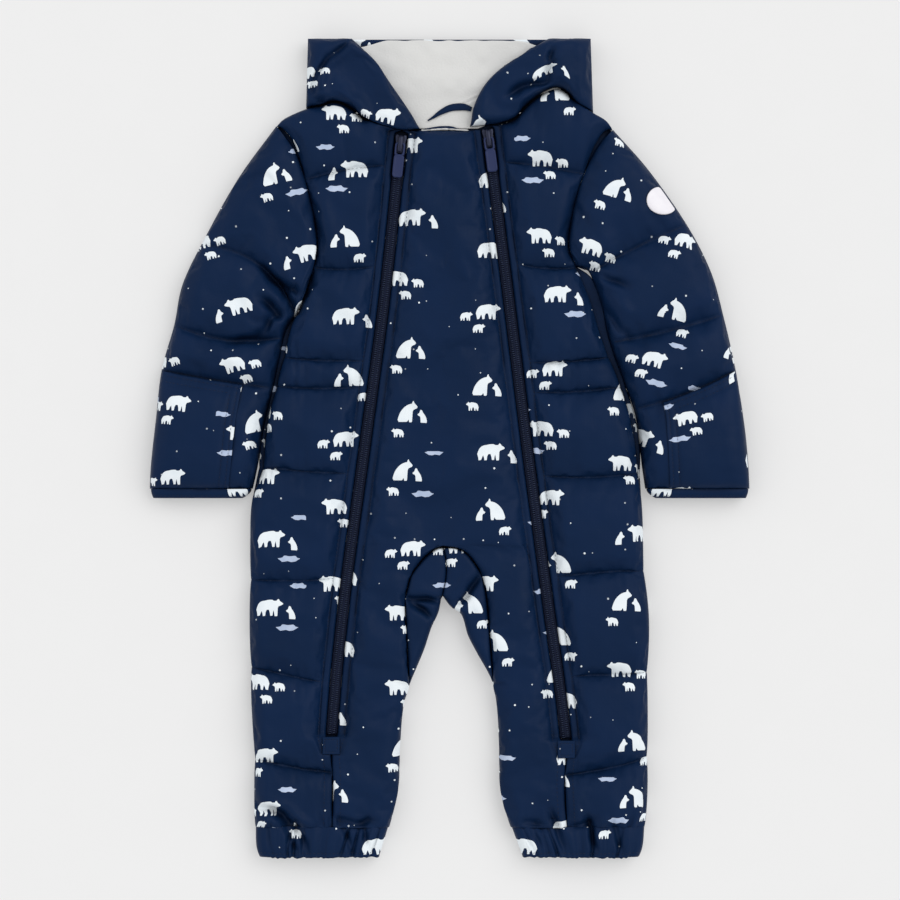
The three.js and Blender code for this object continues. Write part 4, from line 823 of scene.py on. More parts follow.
def transfer_film(colours):
    """A heat-pressed vinyl disc: plain off-white with a faint lilac cast and a soft gloss."""
    material, tree = start_material("heat_pressed_vinyl", {"Roughness": 0.35})
    cloud = add(tree, "TexNoise", object_place(tree), None, 1 / 6, 2.0).outputs["Fac"]
    dress(tree, cloud, (colours.badge, "#e6e3ec"), bump=(cloud, 0.2, 0.15))
    return material


def studio_paper(colours):
    """Matt background paper, plain pale grey, lit a little from below as on a light table."""
    levels = {"Roughness": 0.9, "Specular IOR Level": 0.1}
    material, tree = start_material("background_paper", {**levels, **PAPER_GLOW})
    grain = add(tree, "TexNoise", object_place(tree), None, 1 / 40, 2.0)
    dress(tree, grain.outputs["Fac"], (colours.paper, "#c4c4c4"))
    return material


MATERIALS = {}


def finish_named(name):
    """A finish by its short name, made once."""
    scene = bpy.context.scene
    if name not in MATERIALS:
        sizes, colours = scene.snowsuit_sizes, scene.snowsuit_colours
        makers = {
            "lining": brushed_jersey, "tape": woven_tape, "coil": nylon_filament, "slider": enamelled_zinc,
            "grip": moulded_pvc, "thread": spun_thread, "badge": transfer_film, "paper": studio_paper,
        }
        MATERIALS[name] = printed_nylon(sizes, colours) if name == "shell" else makers[name](colours)
    return MATERIALS[name]


# Stitching

STITCHES = []


def sew(path, length=2.6, gap=0.7, radius=0.15, lift=0.06):
    """Lays stitches along a path of points in mm. They are joined into one piece at the end."""
    path = np.asarray(path, float)
    steps = np.concatenate([[0], np.cumsum(np.linalg.norm(np.diff(path, axis=0), axis=1))])
    starts = (np.arange(max(int(steps[-1] // (length + gap)), 1)) + 0.1) * (length + gap)
    at = []
    for part in (0, 0.5, 1):
        at.append(np.stack([np.interp(starts + part * length, steps, path[:, i]) for i in range(3)], -1))
    at[0] = at[0] - (0, 0, radius * 0.5)
    at[1] = at[1] + (0, 0, radius + lift)
    at[2] = at[2] - (0, 0, radius * 0.5)
    STITCHES.extend((a, b, c, radius) for a, b, c in zip(*at))


def strands(name, pieces, material):
    """Short tapered threads of four sides as one mesh. Each is (start, middle, end, radius)."""
    points, faces = [], []
    for a, b, c, radius in pieces:
        along = (c - a) / np.linalg.norm(c - a)
        side = np.cross(along, (0, 0, 1))
        side = side / max(np.linalg.norm(side), 1e-6)
        up = np.cross(side, along)
        first = len(points)
        points.append(a)
        for centre, wide in ((mix(a, b, 0.5), 0.9), (b, 1.0), (mix(b, c, 0.5), 0.9)):
            for s, t in ((1, 0), (0, 1), (-1, 0), (0, -1)):
                points.append(centre + radius * wide * (side * s + up * t))
        points.append(c)
        last = len(points) - 1
        for k in range(4):
            after = (k + 1) % 4
            faces.append((first, first + 1 + after, first + 1 + k))
            for low in (first + 1, first + 5):
                faces.append((low + k, low + after, low + 4 + after, low + 4 + k))
            faces.append((first + 9 + k, first + 9 + after, last))
    mesh = bpy.data.meshes.new(name)
    mesh.from_pydata((np.array(points) * MM).tolist(), [], faces)
    mesh.polygons.foreach_set("use_smooth", [True] * len(mesh.polygons))
    mesh.materials.append(material)
    obj = bpy.data.objects.new(name, mesh)
    bpy.context.scene.collection.objects.link(obj)
    return obj


# Shapes that several pieces share

def spread(count, near_ends=0.5):
    """Shares from 0 to 1, closer together near both ends."""
    t = np.linspace(0, 1, count)
    return t - near_ends * np.sin(math.tau * t) / math.tau


def span_length(points, axis=1):
    """Distance of each point of a grid from the first one of its row or column."""
    steps = np.linalg.norm(np.diff(points[..., :2], axis=axis), axis=-1)
    start = np.zeros((points.shape[0], 1) if axis == 1 else (1, points.shape[1]))
    return np.concatenate([start, np.cumsum(steps, axis=axis)], axis=axis)


def unrolled(grid):
    """Places of a grid on its cut: the plan, with the cloth that rolls over an edge laid out flat beyond it.

    The last column, far from the rolled edge, keeps its place."""
    steps = np.diff(grid, axis=1)
    longer = np.linalg.norm(steps, axis=-1) / np.maximum(np.linalg.norm(steps[..., :2], axis=-1), 0.02)
    rolls = span_length(grid)[:, 1:] < EDGE_ROLL * 1.4
    steps = steps[..., :2] * np.where(rolls, np.minimum(longer, 5), 1)[..., None]
    cut = np.concatenate([0 * grid[:, :1, :2], np.cumsum(steps, axis=1)], axis=1)
    return cut + (grid[:, -1, :2] - cut[:, -1])[:, None]


def undulate(seed, x, y):
    """The loose unevenness of cloth over soft padding, in mm."""
    return (0.75 * noise_over(seed, 26, x, y) + 0.4 * noise_over(seed + 1, 11, x + 0.3 * y, y)
            + 0.16 * noise_over(seed + 2, 4.5, x, y - 0.4 * x))


def beside_zip(side, distance, core, y, seed):
    """Cloth folded over beside a zip: a round fold, a flat band, the stitched groove, then the padding.

    Below the zip the two panels meet in a plain seam, flat where the square patch covers it."""
    ripple = 0.35 * noise_along(seed, 8, y) + 0.15 * noise_along(seed + 1, 3.6, y)
    band = (5.2 + ripple * smooth(distance / 3)) * rise(distance + 0.25, 2.4)
    padded = mix(band, core, rise(distance - ZIP_BAND, EDGE_ROLL))
    padded = padded - 1.1 * np.exp(-(((distance - ZIP_BAND) / 0.8) ** 2))
    seam = mix(SEAM_RIM + 4, core, rise(distance, 4.5))
    below = ZIP_END[side] - y
    under_patch = smooth((END_PATCH + 2 - below) / 2) * smooth((END_PATCH / 2 + 3 - distance) / 3)
    seam = mix(seam, np.minimum(seam, PATCH_REST - 0.8), under_patch)
    return mix(padded, seam, smooth((below + 1) / 3))


def joined(side, x):
    """1 where the hood runs into the front with hardly a seam, 0 where their seam is a deep crease."""
    return smooth((x + 69) / 7) if side == "right" else smooth((x - 98) / 7)


def panel_rows(side, step):
    """Rows of a front side panel as (channel, share down it), and the channels' edges."""
    edges = [(SHOULDER[side][0][1], SHOULDER[side][-1][1], 0, 1)] + QUILTING[side]
    rows = []
    for k, (a, b) in enumerate(zip(edges, edges[1:])):
        count = max(int((a[0] + a[1] - b[0] - b[1]) / 2 / step), 5)
        rows += [(k, share) for share in spread(count)[:None if k + 2 == len(edges) else -1]]
    return rows, edges


def side_panel(side, sizes, step=1.6):
    """Grid of a front side panel: quilted across, from the shoulder to the ankle casing."""
    rows, edges = panel_rows(side, step)
    across = spread(62)
    out = OUTWARDS[side]
    zip_x = lambda y: edge_at(ZIP_LINE[side], y) + out * (zip_slot(side, y) + SEAM_GAP * (y < ZIP_END[side]))
    shoulder = curve_through(SHOULDER[side], np.linspace(0, 1, 120))
    shoulder = shoulder[np.argsort(shoulder[:, 0])]
    points, heights = [], []
    armpit = ARMHOLE[side][-1][0]
    for k, share in rows:
        a, b = edges[k], edges[k + 1]
        outer_y, inner_y = mix(a[0], b[0], share), mix(a[1], b[1], share)
        outer_x = body_edge(side, outer_y) - out * SEAM_GAP * (outer_y > armpit)
        outer_x = outer_x + out * sizes.scallop / MM * swell(share) * (outer_y < armpit - 6)
        x = mix(outer_x, zip_x(np.float64(inner_y)), across)
        bend = 4 * across * (1 - across)
        above = np.interp(x, *shoulder.T) if k == 0 else mix(a[0], a[1], across) + a[2] * bend
        above = above if k == 0 else above + 1.0 * noise_along(k * 7 + len(side), 36, x) * bend
        below = mix(b[0], b[1], across) + b[2] * bend
        below = below + noise_along((k + 1) * 7 + len(side), 36, x) * bend * (b[0] > ANKLE_TOP)
        points.append(np.stack([x, mix(above, below, share)], -1))
        heights.append((k, share, a[3], np.mean(above) - np.mean(below)))
    plan = np.array(points)
    from_outer = span_length(plan)
    from_zip = from_outer[:, -1:] - from_outer
    channel, share, full, deep = (np.array(v)[:, None] for v in zip(*heights))
    neck = mix(SEAM_RIM, 11.5, joined(side, plan[..., 0]))
    low = np.where((channel == 0) & (share < 0.5), neck, STITCH_HEIGHT)
    low = np.where((channel == len(QUILTING[side]) - 1) & (share > 0.5), CASING_JOIN, low)
    peak = mix(STITCH_HEIGHT, sizes.quilt_peak / MM, full)
    away = np.minimum(share, 1 - share) * deep
    x, y = plan[..., 0], plan[..., 1]
    gathered = np.where(full < 1, 2.0, 1.0)
    core = mix(low, peak, swell(share)) + folds_at(BODY_FOLDS, x, y)
    core = core + undulate(3 + len(side), x, y) * swell(share) * 0.8
    core = core + gathered * sizes.pucker_depth / MM * puckers(x, away, 11 + len(side), 14)
    core = core + 0.4 * puckers(y, from_outer, 17, 10) * np.exp(-from_outer / 12)
    core = core + 1.5 * puckers(x, y - ANKLE_TOP, 37, 16)
    rim = np.where(plan[:, :1, 1] > armpit, SEAM_RIM, EDGE_RIM)
    body = beside_zip(side, from_zip, core, y, 29 + len(side))
    top = FRONT_BASE + mix(rim, body, rise(from_outer, EDGE_ROLL))
    return np.dstack([plan, top]), share


def centre_half(side, sizes, step=1.7):
    """Grid of one half of the front centre panel and the front of its leg."""
    rows = np.concatenate([254 - 12 * spread(14), np.arange(242 - step, CROTCH_TOP, -step), [CROTCH_TOP],
                           np.arange(CROTCH_TOP - step, ANKLE_TOP + 1, -step), [ANKLE_TOP]])
    out = OUTWARDS[side]
    across = spread(40, 0.6)
    leg = rows < CROTCH_TOP
    seam_end = GUSSET_SEAM[side][-1][0]
    zip_x = edge_at(ZIP_LINE[side], rows) - out * (zip_slot(side, rows) + SEAM_GAP * (rows < ZIP_END[side]))
    shares = (rows - seam_end) % 70 / 70
    free = edge_at(LEG_INSIDE[side], rows) - out * sizes.scallop / MM * swell(shares) * 0.7
    seam_x = edge_at(GUSSET_SEAM[side], rows) + out * SEAM_GAP
    blend = smooth((seam_end - rows) / 12)
    inner = np.where(leg, mix(seam_x, free, blend), CENTRE_X)
    x = mix(zip_x[:, None], inner[:, None], across)
    y = np.repeat(rows[:, None], len(across), 1)
    plan = np.dstack([x, y])
    from_zip = np.abs(x - x[:, :1])
    inside = np.abs(x - x[:, -1:])
    core = sizes.plain_peak / MM + folds_at(BODY_FOLDS, x, y) + undulate(41, x, y)
    core = core * (0.2 + 0.8 * rise(254 - y, EDGE_ROLL))
    end = rise(y - ANKLE_TOP + 0.3, 8)
    core = mix(CASING_JOIN, core, end) + 1.5 * puckers(x, y - ANKLE_TOP, 43, 16)
    body = beside_zip(side, from_zip, core, y, 47 + len(side))
    seam = rise(inside, np.where(y < seam_end, EDGE_ROLL, 6))
    edge = np.where(y < seam_end, EDGE_RIM, SEAM_RIM + 1.5)
    top = np.where(leg[:, None], mix(edge, body + 0.35 * puckers(y, inside, 53, 9), seam), body)
    return np.dstack([plan, FRONT_BASE + top])


def gusset_grid(side, step=1.3):
    """Grid of a crotch gusset: a leaf between the middle seam, the leg's inside and the centre panel."""
    rows = np.arange(-80.5, -184, -step)
    out = OUTWARDS[side]
    columns = spread(24)
    seam = edge_at(GUSSET_SEAM[side], rows) - out * SEAM_GAP
    inner = np.where(rows >= CROTCH, edge_at(CENTRE_SEAM, rows) + out * SEAM_GAP,
                     edge_at(LEG_INSIDE[side], rows))
    x = mix(seam[:, None], inner[:, None], columns)
    y = np.repeat(rows[:, None], len(columns), 1)
    from_seam, from_inner = np.abs(x - x[:, :1]), np.abs(x - x[:, -1:])
    core = 10.6 + folds_at(BODY_FOLDS, x, y) + undulate(61, x, y) * 0.7 + 0.4 * puckers(y, from_seam, 67, 8)
    core = mix(SEAM_RIM + 1.5, core, rise(from_seam + 0.1, 5))
    rim = np.where(y < CROTCH, EDGE_RIM, SEAM_RIM + 1.5)
    return np.dstack([x, y, FRONT_BASE + mix(rim, core, rise(from_inner + 0.1, EDGE_ROLL * 0.6))])


def sleeve_plan(side, lines, shares):
    """Plan of a sleeve: lines count the rows of its table, shares run from the outer edge inwards."""
    rows = SLEEVES[side]
    shares = np.asarray(shares, float)

    def at(k):
        ox, oy, ix, iy, bow, _ = rows[min(max(k, 0), len(rows) - 1)]
        if k <= 0:
            y = mix(oy, iy, shares)
            return np.stack([edge_at(ARMHOLE[side], y), y], -1)
        dx, dy = ix - ox, iy - oy
        stand = bow * 4 * shares * (1 - shares) * -OUTWARDS[side] / math.hypot(dx, dy)
        return np.stack([mix(ox, ix, shares) - dy * stand, mix(oy, iy, shares) + dx * stand], -1)

    plan = []
    for line in np.atleast_1d(lines):
        k = min(int(line), len(rows) - 2)
        t = line - k
        q, r, s = at(k), at(k + 1), at(k + 2)
        p = 2 * q - r if k == 0 else at(k - 1)
        plan.append((2 * t**3 - 3 * t**2 + 1) * q + (t**3 - 2 * t**2 + t) * (r - p) / 2
                    + (3 * t**2 - 2 * t**3) * r + (t**3 - t**2) * (s - q) / 2)
    return np.array(plan)


def sleeve_share(side, lines):
    """How far each line lies between the stitched lines around it, and those lines' distance in mm."""
    stops = np.array([k for k, row in enumerate(SLEEVES[side]) if row[5]], float)
    k = np.clip(np.searchsorted(stops, lines, side="right") - 1, 0, len(stops) - 2)
    mids = np.array([((row[1] + row[3]) / 2, (row[0] + row[2]) / 2) for row in SLEEVES[side]])
    at = np.array([np.interp(stops, np.arange(len(mids)), mids[:, i]) for i in (0, 1)]).T
    deep = np.linalg.norm(at[k + 1] - at[k], axis=-1)
    return np.clip((lines - stops[k]) / (stops[k + 1] - stops[k]), 0, 1), deep


def sleeve_top(side, lines, plan, sizes, plain=False):
    """Upper heights of a sleeve over its plan."""
    lines = np.asarray(lines, float)
    share, deep = sleeve_share(side, lines)
    share, deep = share[:, None], deep[:, None]
    from_outer = span_length(plan)
    from_inner = from_outer[:, -1:] - from_outer
    x, y = plan[..., 0], plan[..., 1]
    low = STITCH_HEIGHT + 1.2
    core = mix(low, sizes.sleeve_peak / MM, swell(share)) + folds_at(SLEEVE_FOLDS, x, y)
    if not plain:
        away = np.minimum(share, 1 - share) * deep
        core = core + undulate(71 + len(side), x, y) * swell(share)
        core = core + 1.5 * sizes.pucker_depth / MM * puckers(from_outer, away, 73 + len(side), 14)
        core = core + 0.5 * puckers(y, from_inner, 79, 12) + 0.5 * puckers(y, from_outer, 83, 12)
    roll = rise(from_outer, EDGE_ROLL * 1.4) * rise(from_inner, EDGE_ROLL * 1.4)
    sewn = (lines < 0.02)[:, None]
    return BACK_TOP + mix(np.where(sewn, SEAM_RIM, EDGE_RIM), core, np.where(sewn, np.sqrt(roll), roll))


def lines_along(side, first=0.0, last=8.0, step=1.7):
    """Lines of a sleeve, about a step apart in mm, from its first to its last one."""
    lines = []
    for k in range(len(SLEEVES[side]) - 1):
        a, b = SLEEVES[side][k], SLEEVES[side][k + 1]
        wide = max(math.hypot(b[0] - a[0], b[1] - a[1]), math.hypot(b[2] - a[2], b[3] - a[3])) * 0.8
        lines.append(k + np.linspace(0, 1, max(int(wide / step), 4), endpoint=False))
    lines = np.concatenate(lines + [[len(SLEEVES[side]) - 1]])
    lines = lines[(lines > first) & (lines < last)]
    return np.concatenate([[first], lines, [last]])


def filled(values, known, count):
    """Fills in the rows between the known rows of a grid, and makes its rows columns."""
    every = np.arange(count)
    lines = values.transpose(1, 0, 2)
    return np.stack([[np.interp(every, known, line[:, i]) for line in lines] for i in range(3)], -1)


def inflate(grids, pinned, sizes):
    """Runs Blender's Cloth on a coarse copy of the grids and adds what it moves to them.

    pinned holds an array of truth for each grid: the points that are sewn down."""
    if sizes.puff_frames == 0:
        return grids
    picks, starts, points, held, faces = [], [], [], [], []
    for grid, pins in zip(grids, pinned):
        rows = np.unique(np.r_[np.arange(0, grid.shape[0], PUFF_EVERY), grid.shape[0] - 1,
                               np.flatnonzero(pins.all(1))])
        columns = np.unique(np.r_[np.arange(0, grid.shape[1], PUFF_EVERY), grid.shape[1] - 1])
        picks.append((rows, columns))
        starts.append(len(points))
        sample = grid[np.ix_(rows, columns)]
        held.extend(pins[np.ix_(rows, columns)].ravel())
        first = len(points)
        points.extend(sample.reshape(-1, 3))
        r, c = np.meshgrid(np.arange(len(rows) - 1), np.arange(len(columns) - 1), indexing="ij")
        index = first + r * len(columns) + c
        faces.append(np.stack([index, index + 1, index + len(columns) + 1, index + len(columns)],
                              -1).reshape(-1, 4))
    points, held = np.array(points), np.array(held)
    keys = np.round(points / SEAM_WELD).astype(int)
    _, kept, same = np.unique(keys, axis=0, return_index=True, return_inverse=True)
    same = same.ravel()
    faces = same[np.concatenate(faces)]
    mesh = bpy.data.meshes.new("puff")
    mesh.from_pydata((points[kept] * MM).tolist(), [], faces.tolist())
    obj = bpy.data.objects.new("puff", mesh)
    bpy.context.scene.collection.objects.link(obj)
    sewn = obj.vertex_groups.new(name="sewn")
    sewn.add([int(i) for i in np.unique(same[held])], 1.0, "REPLACE")
    cloth = obj.modifiers.new("cloth", "CLOTH")
    settings = cloth.settings
    settings.vertex_group_mass = "sewn"
    settings.quality = 6
    settings.mass = 0.15
    settings.tension_stiffness = settings.compression_stiffness = 12
    settings.shear_stiffness = 4
    settings.bending_stiffness = sizes.puff_stiffness
    settings.use_pressure = True
    settings.uniform_pressure_force = sizes.puff_pressure
    settings.shrink_min = -sizes.puff_slack
    settings.effector_weights.gravity = 0
    cloth.collision_settings.use_self_collision = False
    cloth.collision_settings.use_collision = False
    scene = bpy.context.scene
    for number in range(1, sizes.puff_frames + 1):
        scene.frame_set(number)
    view = bpy.context.evaluated_depsgraph_get()
    result = obj.evaluated_get(view).to_mesh()
    moved = np.empty(len(result.vertices) * 3)
    result.vertices.foreach_get("co", moved)
    moved = moved.reshape(-1, 3) / MM - points[kept]
    obj.evaluated_get(view).to_mesh_clear()
    bpy.data.objects.remove(obj)
    bpy.data.meshes.remove(mesh)
    scene.frame_set(1)
    length = np.linalg.norm(moved, axis=1, keepdims=True)
    moved = moved * np.minimum(1, sizes.puff_cap / MM / np.maximum(length, 1e-6))
    moved = moved[same]
    puffed = []
    for grid, (rows, columns), start in zip(grids, picks, starts):
        shift = moved[start:start + len(rows) * len(columns)].reshape(len(rows), len(columns), 3)
        down = filled(shift, rows, grid.shape[0])
        puffed.append(grid + filled(down, columns, grid.shape[1]))
    return puffed


def pins_for(shape, rows=()):
    """Which points of a grid are sewn down: its edges and some of its rows."""
    pins = np.zeros(shape[:2], bool)
    for row in (0, -1, *rows):
        pins[row] = True
    pins[:, 0], pins[:, -1] = True, True
    return pins


def offset_path(grid, distance, side="last"):
    """A path over a grid at a distance from its last or first column."""
    away = span_length(grid)
    if side == "last":
        away = away[:, -1:] - away
        away, grid = away[:, ::-1], grid[:, ::-1]
    return np.array([[np.interp(distance, a, p[:, i]) for i in range(3)] for a, p in zip(away, grid)])


def sweep(path, radius, sides, squash, side=None):
    """Rings of a round or oval section along a path, ready for Pattern.tube."""
    path = np.asarray(path, float)
    along = np.vstack([path[1:], path[-1:]]) - np.vstack([path[:1], path[:-1]])
    along /= np.linalg.norm(along, axis=1, keepdims=True)
    side = np.cross(along, (0, 0, 1)) if side is None else np.tile(np.array(side, float), (len(path), 1))
    side /= np.linalg.norm(side, axis=1, keepdims=True)
    up = np.cross(side, along)
    turn = np.linspace(0, math.tau, sides + 1)
    section = (np.cos(turn)[None, :, None] * side[:, None] * squash[0]
               + np.sin(turn)[None, :, None] * up[:, None] * squash[1]) * radius
    return path[:, None] + section


def outline(half, length, radius, start, points=9):
    """A rounded rectangle's outline in plan, from y = start towards -Y."""
    corners = ((half - radius, start - radius, 0), (-half + radius, start - radius, 90),
               (-half + radius, start - length + radius, 180), (half - radius, start - length + radius, 270))
    path = []
    for x, y, first in corners:
        for angle in np.radians(np.linspace(first, first + 90, points)):
            path.append((x + radius * math.cos(angle), y + radius * math.sin(angle)))
    return np.array(path + path[:1])


def stacked(shape, levels):
    """Rings of an outline at several heights, as (height, inset): a rounded plate's upper and lower form."""
    middle = (shape.max(0) + shape.min(0)) / 2
    reach = (shape.max(0) - shape.min(0)) / 2
    rings = []
    for height, inset in levels:
        flat = middle + (shape - middle) * (np.maximum(reach - inset, 0.01) / reach)
        rings.append(np.column_stack([flat, np.full(len(flat), height)]))
    return np.array(rings)


def cut_of(*grids):
    """The flat size and area in mm of the cloth under some grids: its longest row, column and surface."""
    wide, long, area = 0, 0, 0
    for g in grids:
        across = np.linalg.norm(np.diff(g, axis=1), axis=-1).sum(1).max()
        along = np.linalg.norm(np.diff(g, axis=0), axis=-1).sum(0).max()
        a, b = g[1:, 1:] - g[:-1, :-1], g[1:, :-1] - g[:-1, 1:]
        area += np.linalg.norm(np.cross(a, b), axis=-1).sum() / 2
        wide, long = wide + across, max(long, along)
    return (wide, long), area * MM * MM


def scallop_at(side, y, sizes):
    """How far the padding between two quilting lines pushes a side seam out at height y."""
    stops = np.array([row[0] for row in QUILTING[side]][::-1], float)
    k = np.clip(np.searchsorted(stops, y) - 1, 0, len(stops) - 2)
    share = (y - stops[k]) / (stops[k + 1] - stops[k])
    fade = smooth((ARMHOLE[side][-1][0] - 6 - y) / 20)
    return sizes.scallop / MM * swell(share) * fade


def shoulder_y(side, x):
    """Height of a side panel's upper edge at x."""
    line = curve_through(SHOULDER[side], np.linspace(0, 1, 160))
    line = line[np.argsort(line[:, 0])]
    return np.interp(x, *line.T)


def back_grids(side, sizes, step=3):
    """Upper and lower grid of one half of the back and the back of its leg."""
    out = OUTWARDS[side]
    across = spread(46, 0.8)
    first = SHOULDER[side][0]
    reach = SHOULDER[side][2][0]
    top_x = mix(first[0], CENTRE_X, across)
    beyond = (top_x - reach) * out > 0
    top_y = np.where(beyond, np.minimum(shoulder_y(side, top_x), HOOD_BACK_LOWER) - 0.6,
                     HOOD_BACK_LOWER - 0.9)
    rows = np.concatenate([np.arange(248, CROTCH, -step), [CROTCH],
                           np.arange(CROTCH - step, ANKLE_TOP, -step), [ANKLE_TOP]])
    edge = body_edge(side, rows, BACK_SIDE) + out * scallop_at(side, rows, sizes)
    inner = np.where(rows >= CROTCH, CENTRE_X, edge_at(LEG_INSIDE[side], rows))
    plan = np.dstack([mix(edge[:, None], inner[:, None], across), np.repeat(rows[:, None], len(across), 1)])
    top = np.stack([top_x, top_y], -1)
    neck = [mix(top, plan[0], t) for t in (0, 0.08, 0.2, 0.4, 0.7)]
    plan = np.concatenate([neck, plan])
    y = plan[..., 1]
    from_edge = span_length(plan)
    from_inner = np.where(y < CROTCH, from_edge[:, -1:] - from_edge, 100)
    from_end = np.minimum(span_length(plan, axis=0), y - ANKLE_TOP)
    armpit = ARMHOLE[side][-1][0]
    radius = np.where(y > armpit, 3, EDGE_ROLL)
    roll = rise(from_edge, radius) * rise(from_inner, EDGE_ROLL) * rise(from_end, 4)
    thin = rise(from_edge, 2.5) * rise(from_inner, 2.5) * rise(from_end, 2.5)
    seam = BACK_TOP - 1
    lines = [mix(a[0], a[1], 0.5) for a in QUILTING[side]]
    groove = sum(1.3 * np.exp(-(((y - line) / 3) ** 2)) for line in lines)
    upper = seam + thin
    lower = seam * (1 - roll) + groove * roll
    return np.dstack([plan, upper]), np.dstack([plan, lower])


def hood_grid(side, sizes):
    """Grid of a hood side: a patch between its top fold, face edge, neck seam and outer fold."""
    corner, foot, face = HOOD_CORNER[side], HOOD_FOOT[side], FACE_EDGE[side]
    end = face[-1]
    lower = [foot] + [(x, y + 1.4 - 1.3 * float(joined(side, x))) for x, y in SHOULDER[side][3:]] + [end]
    u, v = spread(70, 0.6), spread(60, 0.6)
    top, low = curve_through([corner, face[0]], u), curve_through(lower, u)
    outer, inner = curve_through([corner, foot], v), curve_through(face, v)
    across = outer[:, None] * (1 - u)[None, :, None] + inner[:, None] * u[None, :, None]
    down = top[None] * (1 - v)[:, None, None] + low[None] * v[:, None, None]
    corners = np.array([[corner, face[0]], [foot, end]], float)
    flat = 0
    for share, ends in zip((1 - v, v), corners):
        flat = flat + sum(np.einsum("i,j,k->ijk", share, part, end) for part, end in zip((1 - u, u), ends))
    plan = across + down - flat
    x, y = plan[..., 0], plan[..., 1]
    far = lambda p: np.hypot(x - p[..., 0], y - p[..., 1])
    from_outer, from_face = far(plan[:, :1]), far(plan[:, -1:])
    from_top, from_neck = far(plan[:1]), far(plan[-1:])
    outer_roll = rise(from_outer, EDGE_ROLL) * rise(from_top, EDGE_ROLL)
    core = sizes.hood_peak / MM + folds_at(HOOD_FOLDS, x, y) + undulate(91 + len(side), x, y)
    core = core + 0.4 * puckers(x, from_neck, 97 + len(side), 12)
    core = mix(EDGE_RIM + 0.6, core, rise(from_face + 0.2, EDGE_ROLL * 0.7))
    core = mix(mix(SEAM_RIM, 10, joined(side, x)), core, rise(from_neck, EDGE_ROLL * 0.6))
    height = np.maximum(mix(EDGE_RIM, core, outer_roll), EDGE_RIM)
    return np.dstack([plan, HOOD_BASE + height])


def sleeve_grid(side, sizes):
    """Grid of a sleeve's upper half, and its lines."""
    lines = lines_along(side)
    plan = sleeve_plan(side, lines, spread(60, 0.7))
    return np.dstack([plan, sleeve_top(side, lines, plan, sizes)]), lines


def band_ring(x, y, x0, x1, height, thin, squeeze):
    """One closed ring of a cuff or ankle casing, between x0 and x1: over the top and back underneath."""
    roll = rise(np.minimum(np.abs(x - x0), np.abs(x - x1)), EDGE_ROLL)
    top = BACK_TOP + mix(EDGE_RIM, height, roll) - thin
    low = (BACK_TOP - EDGE_RIM) * (1 - roll) + thin
    middle = (x0 + x1) / 2
    x = middle + (x - middle) * squeeze
    upper = np.stack([x, y, np.maximum(top, BACK_TOP + 0.6)], -1)
    lower = np.stack([x, y, np.minimum(low, BACK_TOP - 0.6)], -1)[::-1]
    return np.concatenate([upper, lower, upper[:1]])


def flat_cut(grid):
    """Places of a grid on its own flat cut: across and along the cloth in mm."""
    along = span_length(grid, axis=0).mean(1, keepdims=True)
    return np.stack([span_length(grid), -along + 0 * grid[..., 0]], -1)


class SNOWSUIT_OT_back(bpy.types.Operator):
    """Makes the back and the back of the hood"""
    bl_idname = "snowsuit.back"
    bl_label = "Back"

    def execute(self, context):
        sizes = context.scene.snowsuit_sizes
        pattern = Pattern()
        uppers = []
        for side in SIDES:
            upper, lower = back_grids(side, sizes)
            uppers.append(upper)
            pattern.grid(upper)
            pattern.grid(lower, unrolled(lower))
        lay(pattern, "back", *cut_of(*uppers), rests_on=("surface",), weld=SEAM_WELD)
        u, v = spread(90, 0.7), spread(20, 0.7)
        right = mix(HOOD_CORNER["right"][0], HOOD_FOOT["right"][0], v)[:, None]
        left = mix(HOOD_CORNER["left"][0], HOOD_FOOT["left"][0], v)[:, None]
        x, y = mix(right, left, u), mix(HOOD_TOP, HOOD_BACK_LOWER, v)[:, None] + 0 * u
        inside = np.minimum(x - x[:, :1], x[:, -1:] - x)
        thin = rise(inside, 2.5) * rise(HOOD_TOP - y, 2.5) * rise(y - HOOD_BACK_LOWER, 2.5)
        roll = rise(inside, EDGE_ROLL) * rise(HOOD_TOP - y, EDGE_ROLL) * rise(y - HOOD_BACK_LOWER, 3)
        upper, lower = np.dstack([x, y, BACK_TOP - 1 + thin]), np.dstack([x, y, (BACK_TOP - 1) * (1 - roll)])
        pattern = Pattern().grid(upper).grid(lower, flat_cut(lower))
        lay(pattern, "hood_back", *cut_of(upper), rests_on=("surface",), offset=(37, 11), weld=SEAM_WELD)
        return {"FINISHED"}


